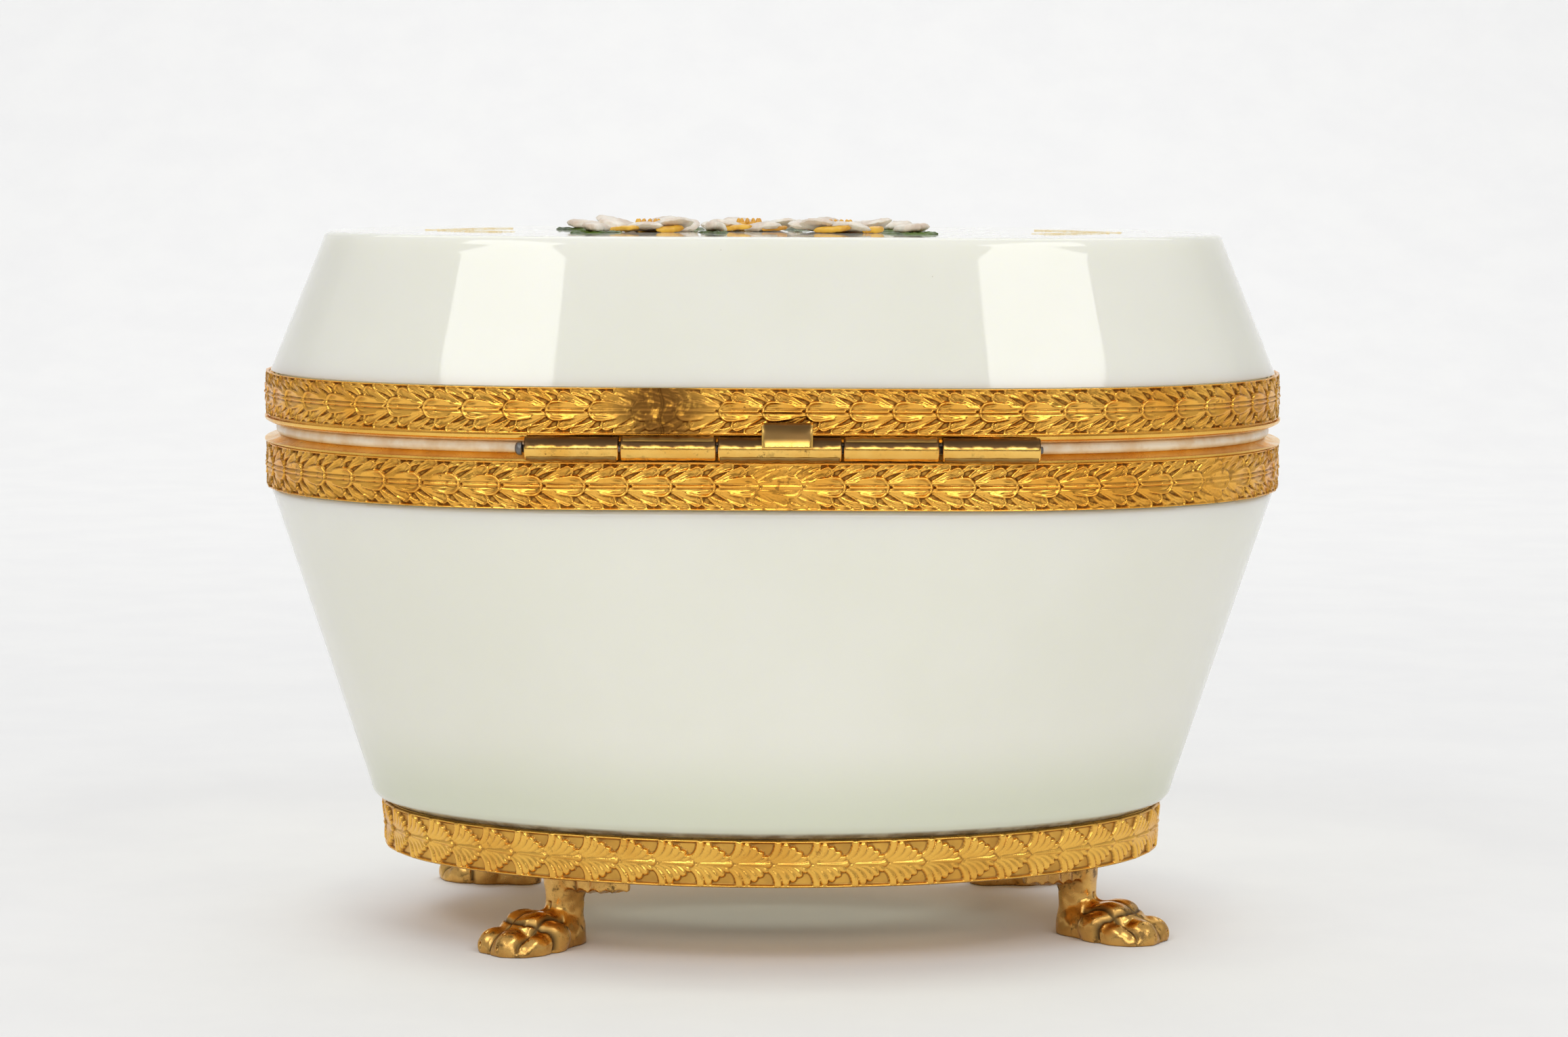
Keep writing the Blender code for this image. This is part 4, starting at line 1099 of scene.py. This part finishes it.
def petal(length, width, top, seed):
    """Thick rough shard of enamel: it rises outwards from its root along +u."""
    steps, rings = 56, 9
    t = TAU * np.arange(steps) / steps
    pick = np.random.default_rng(100 + seed)
    phase = pick.uniform(0.0, TAU, 3)
    lean, thick = pick.uniform(-0.20, 0.20), pick.uniform(0.42, 0.68)
    rough = 1.0 + 0.08 * np.sin(3 * t + phase[0]) + 0.05 * np.sin(7 * t + phase[1])
    rough += 0.03 * np.sin(13 * t + phase[2])
    edge_u = length / 2.0 * np.cos(t) * rough
    edge_v = width / 2.0 * np.sin(t) * (1.0 + 0.28 * np.cos(t)) * rough
    reach = width / 2.0

    def middle(u, v):
        out = (u + length / 2.0) / length
        rise = (top - 1.15) * np.clip(out, 0.0, 1.0) - 0.25 * (v / reach) ** 2
        return 0.55 + rise + lean * v + 0.12 * lump(1.7 * u, 1.7 * v, seed)

    rows = []
    for step in [*range(1, rings + 1), *range(1 - rings, 0)]:
        # out over the top of the slab, then back underneath
        over, share = math.copysign(1.0, step), abs(step) / rings
        u, v = edge_u * share, edge_v * share
        body = thick * np.sqrt(max(1.0 - share ** 4, 0.0))
        grain = 0.05 * lump(4.1 * u, 4.1 * v, seed + 50) * over
        z = np.clip(middle(u, v) + over * body + grain, 0.0, PETAL_TOP)
        rows.append(np.column_stack([u, v, z]))
    ends = [[0.0, 0.0, np.clip(middle(0.0, 0.0) + over * thick, 0.0, PETAL_TOP)]
            for over in (1.0, -1.0)]
    count = len(rows)
    faces = grid_faces(count, steps, False)[:, ::-1].tolist()
    top_end, start = count * steps, (count - 1) * steps
    faces += [(top_end, k, (k + 1) % steps) for k in range(steps)]
    faces += [(top_end + 1, start + (k + 1) % steps, start + k) for k in range(steps)]
    return np.vstack([*rows, ends]), faces


def flowers():
    for number, (name, x, y, radius, first) in enumerate(FLOWERS):
        parts = []
        for k in range(PETALS):
            heading = first + 360.0 * k / PETALS + (7.0 if k % 2 else -6.0)
            top = PETAL_TOP - 0.95 * ((k * 2 + number) % 4) / 3.0
            points, faces = petal(radius * 0.78, radius * 0.66, top, 10 * number + k)
            points[:, 0] += radius * 0.56
            parts.append((spin(points, math.radians(heading)), faces))
        add_enamel(name.replace("flower", "petals"), parts, x, y, WHITE_ENAMEL, name, sharp=60.0)
        flower_cup(name, x, y, number)


def slivers_and_buds():
    """Yellow slivers half under the petals, and white buds lying on the leaves."""
    for number, (name, x, y, radius, _) in enumerate(FLOWERS):
        parts = []
        for k, heading in enumerate((62.0, 118.0, 250.0)):
            points, faces = petal(5.2 - k, 1.6, 1.75 - 0.2 * k, 70 + 3 * number + k)
            across = np.column_stack([radius * 0.82 + points[:, 1], points[:, 0],
                                      0.72 * points[:, 2]])
            parts.append((spin(across, math.radians(heading + 9.0 * number)), faces))
        add_enamel(name.replace("flower", "slivers"), parts, x, y, YELLOW_ENAMEL)
    parts = []
    for number, (name, x, y, heading, length) in enumerate(LEAVES):
        points, faces = petal(length * 0.56, length * 0.32, 1.55, 90 + number)
        points[:, 2] = np.minimum(points[:, 2] + 0.15, PETAL_TOP)
        parts.append((placed(points, x, y, heading + 12.0), faces))
    add_piece("white_buds", *joined(parts), WHITE_ENAMEL, "lid")


def flower_cup(name, x, y, seed):
    """Yellow cup of stamens: a ring of small grains on a low dome."""
    parts = []
    steps = 40
    t = TAU * np.arange(steps) / steps

    def dome(u, v, share):
        ring = np.exp(-((share - 0.72) / 0.16) ** 2)
        return 1.1 + 0.35 * ring + 0.10 * lump(2.5 * u, 2.5 * v, seed + 40) - 0.4 * share ** 8

    wavy = 2.25 * (1.0 + 0.07 * np.sin(7 * t + seed))
    parts.append(relief_patch(wavy * np.cos(t), wavy * np.sin(t), dome, 9))

    def grain(u, v, share):
        return 0.85 * np.sqrt(np.clip(1.0 - 0.85 * share ** 2, 0.0, 1.0))

    small = TAU * np.arange(14) / 14
    for angle in TAU * np.arange(11) / 11 + 0.3 * seed:
        points, faces = relief_patch(0.34 * np.cos(small), 0.34 * np.sin(small), grain, 4)
        centre = np.array([1.55 * math.cos(angle), 1.55 * math.sin(angle), 1.05])
        parts.append((points + centre, faces))
    add_enamel(name.replace("flower", "stamens"), parts, x, y, YELLOW_ENAMEL, name + "_cup")


def leaf_mound(length, width, thick, seed, teeth=9):
    """Pointed leaf with toothed edges, a raised midrib and side veins."""
    steps = 72
    t = TAU * (np.arange(steps) + 0.5) / steps
    along = np.cos(t)
    tooth = 1.0 + 0.10 * np.abs(np.sin(teeth * t))
    edge_u = length / 2.0 * along
    edge_v = width / 2.0 * np.sin(t) * np.abs(np.sin(t)) ** 0.35 * (1.0 - 0.25 * along) * tooth

    def height(u, v, share):
        rib = 0.16 * np.exp(-(v / 0.16) ** 2)
        veins = 0.07 * np.cos(4.4 * (np.abs(v) * 1.1 - u))
        curl = 0.14 * (np.abs(v) / width) + 0.12 * (u / length + 0.5)
        edge = np.sqrt(np.clip(1.0 - share ** 10, 0.0, 1.0))
        return (thick + rib + veins + curl + 0.07 * lump(u, v, seed)) * (0.35 + 0.65 * edge)

    return relief_patch(edge_u, edge_v, height, 9)


def leaves():
    for number, (name, x, y, heading, length) in enumerate(LEAVES):
        points, faces = leaf_mound(length, length * 0.42, 0.16, 60 + number)
        add_piece(name.replace("leaf", "enamel_leaf"), placed(points, x, y, heading), faces,
                  GREEN_ENAMEL, "lid", name, sharp=60.0)


def garland(name, side):
    """Fired gold scroll with small leaflets on both sides, hardly raised."""
    low, high = cad_box(name)
    middle_x, reach = (low[0] + high[0]) / 2.0, (high[0] - low[0]) / 2.0
    steps = 61
    share = np.arange(steps) / (steps - 1.0)
    angle = np.radians(-68.0 + 136.0 * share)
    swing = 0.9 * np.sin(share * 5.0 * math.pi)
    stem = np.column_stack([(reach * 2.0 - 4.0 + swing) * np.cos(angle) - reach + 1.0,
                            (high[1] - 2.0) * np.sin(angle)])
    run = np.gradient(stem, axis=0)
    run /= np.hypot(*run.T)[:, None]
    across = np.column_stack([-run[:, 1], run[:, 0]])
    thin = (0.16 + 0.10 * np.sin(math.pi * share))[:, None]
    section = ((-1.0, 0.0), (-0.6, 0.16), (0.0, 0.22), (0.6, 0.16), (1.0, 0.0))
    rows = [np.column_stack([stem + across * thin * part, np.full(steps, z)])
            for part, z in section]
    points = np.stack(rows, axis=1).reshape(-1, 3)
    count, last = len(section), len(points) - 1
    faces = grid_faces(steps, count, False)[:, ::-1].tolist()
    faces += [list(range(count)), list(range(last, last - count, -1))]
    parts = [(points, faces)]
    for k in range(3, steps - 1, 4):
        for out in (-1.0, 1.0):
            size = 3.0 + 0.7 * math.sin(k * 1.7 + out)
            leaf_points, leaf_faces = leaf_mound(size, size * 0.42, 0.10, k, 5)
            leaf_points[:, 2] *= 0.42
            lean = math.atan2(run[k, 1], run[k, 0]) + out * 0.95
            centre = stem[k] + across[k] * out * 1.15 + run[k] * 0.6
            parts.append((spin(leaf_points, lean, *centre), leaf_faces))
    parts = [(points * (side, 1.0, 1.0), faces) for points, faces in parts]
    add_enamel(name.replace("enamel_spray", "gold_garland"), parts, middle_x, 0.0, GOLD_PAINT,
               name, sharp=60.0)


# ------------------------------------------------------------ studio

def studio():
    """Curved pale paper, soft boxes and an even pale room."""
    half, front, back, radius, top = 2.2, 0.9, -0.75, 0.55, 1.9
    section = [(front, 0.0), (0.4, 0.0), (0.0, 0.0), (back, 0.0)]
    section += [(back - radius * math.sin(a), radius * (1 - math.cos(a)))
                for a in math.pi / 2 * np.arange(1, 17) / 16]
    section.append((back - radius, top))
    points = [(x / MM, y / MM, z / MM) for y, z in section for x in (-half, half)]
    faces = grid_faces(len(section), 2, False, False)
    paper = make_mesh("paper_sweep", points, faces)
    s = Shader("paper")
    s.link(s.mix(s.ramp(s.noise(40.0, 4.0), 0.3, 0.7), (0.86, 0.86, 0.86), (0.88, 0.88, 0.875)),
           "Base Color")
    s.set(Roughness=0.85)
    paper.data.materials.append(s.material)
    room_light()
    over_lid, behind = Vector((0.0, 0.0, 0.085)), Vector((0.0, -1.1, 0.1))
    # name, direction, distance, target, width, height, watts, roll
    for lamp in (("soft_box_left", (36.0, 39.5), 1.0, over_lid, 0.50, 0.26, 1.5, -12.0),
                 ("soft_box_right", (-36.0, 39.5), 1.0, over_lid, 0.52, 0.26, 1.5, 12.0),
                 ("front_fill", (0.0, 19.0), 1.7, over_lid, 1.5, 0.5, 6.0, 0.0),
                 ("overhead", (180.0, 60.0), 1.3, over_lid, 1.3, 0.9, 3.3, 0.0),
                 ("backdrop_light", (0.0, 62.0), 0.9, behind, 1.6, 0.4, 2.9, 0.0)):
        soft_box(*lamp)
    view = bpy.context.scene.view_settings
    view.view_transform = "Standard"
    view.look = "None"


def room_light():
    """Pale walls all round, darker low down behind the camera."""
    world = bpy.data.worlds.new("studio_room")
    world.use_nodes = True
    bpy.context.scene.world = world
    room = Nodes(world.node_tree, "Generated")
    dark = room.math("MULTIPLY", room.ramp(room.axis("Y"), 0.45, 0.85),
                     room.ramp(room.axis("Z"), 0.16, 0.42, 1.0, 0.0))
    shade = room.node("MapRange", "Result", {"Value": dark, "To Min": 0.56, "To Max": 0.20})
    background = room.nodes["Background"]
    background.inputs["Color"].default_value = (1.0, 1.0, 1.0, 1.0)
    room.links.new(shade, background.inputs["Strength"])


def soft_box(name, direction, distance, target, width, height, power, roll):
    """Area light aimed at target; direction is azimuth from +Y to +X, then height."""
    light = bpy.data.lights.new(name, "AREA")
    light.shape = "RECTANGLE"
    light.size, light.size_y = width, height
    light.energy = power
    lamp = bpy.data.objects.new(name, light)
    bpy.context.collection.objects.link(lamp)
    a, e = (math.radians(angle) for angle in direction)
    spot = target + Vector((math.sin(a) * math.cos(e), math.cos(a) * math.cos(e),
                            math.sin(e))) * distance
    lamp.location = spot
    aim = (target - spot).to_track_quat("-Z", "Y")
    lamp.rotation_euler = (aim @ Quaternion((0.0, 0.0, 1.0), math.radians(roll))).to_euler()


def camera():
    """Straight on to the back, a little above, at about 0.57 m."""
    distance, side, height = 0.5667, -0.0017, 0.1129
    pitch, roll = 0.09507, 0.00402
    lens_data = bpy.data.cameras.new("photo_camera")
    lens_data.sensor_width = 36.0
    lens_data.lens = 89.64
    lens_data.clip_start = 0.01
    lens_data.clip_end = 20.0
    cam = bpy.data.objects.new("photo_camera", lens_data)
    bpy.context.collection.objects.link(cam)
    forward = Vector((0.0, -math.cos(pitch), -math.sin(pitch)))
    right = Vector((-1.0, 0.0, 0.0))
    up = right.cross(forward)
    right, up = (right * math.cos(roll) + up * math.sin(roll),
                 up * math.cos(roll) - right * math.sin(roll))
    cam.matrix_world = Matrix((
        (right.x, up.x, -forward.x, side), (right.y, up.y, -forward.y, distance),
        (right.z, up.z, -forward.z, height), (0.0, 0.0, 0.0, 1.0)))
    bpy.context.scene.camera = cam


# ------------------------------------------------------------ assembly

camera()
studio()
body_glass()
lid_glass()
rims()
closing_bead()
base_ring()
cements()
RIM_TILE = rim_unit((RIM_HIGH - RIM_LOW) / 2.0)
BASE_TILE = base_unit((BASE_HIGH - BASE_LOW) / 2.0)
gallery("lid_gallery", "lid_rim_gallery", RIM_PLAN, RIM_TILE, RIM_PITCH, "lid", GALLERY_GOLD,
        seam=(15.0, 6.6))
gallery("body_gallery", "body_rim_gallery", RIM_PLAN, RIM_TILE[:, ::-1], RIM_PITCH, "body",
        GALLERY_GOLD, worn=((-1.0, 5.0, 0.7), (-62.0, 3.5, 0.6)), seed=23)
gallery("base_leaf_gallery", "base_gallery", BASE_PLAN, BASE_TILE, BASE_PITCH, "body", BASE_GOLD,
        taper=0.45, seed=37)
feet()
knuckles()
hinge_pin()
stop_lug()
thumb_tab()
flowers()
leaves()
slivers_and_buds()
garland("enamel_spray_left", 1.0)
garland("enamel_spray_right", -1.0)
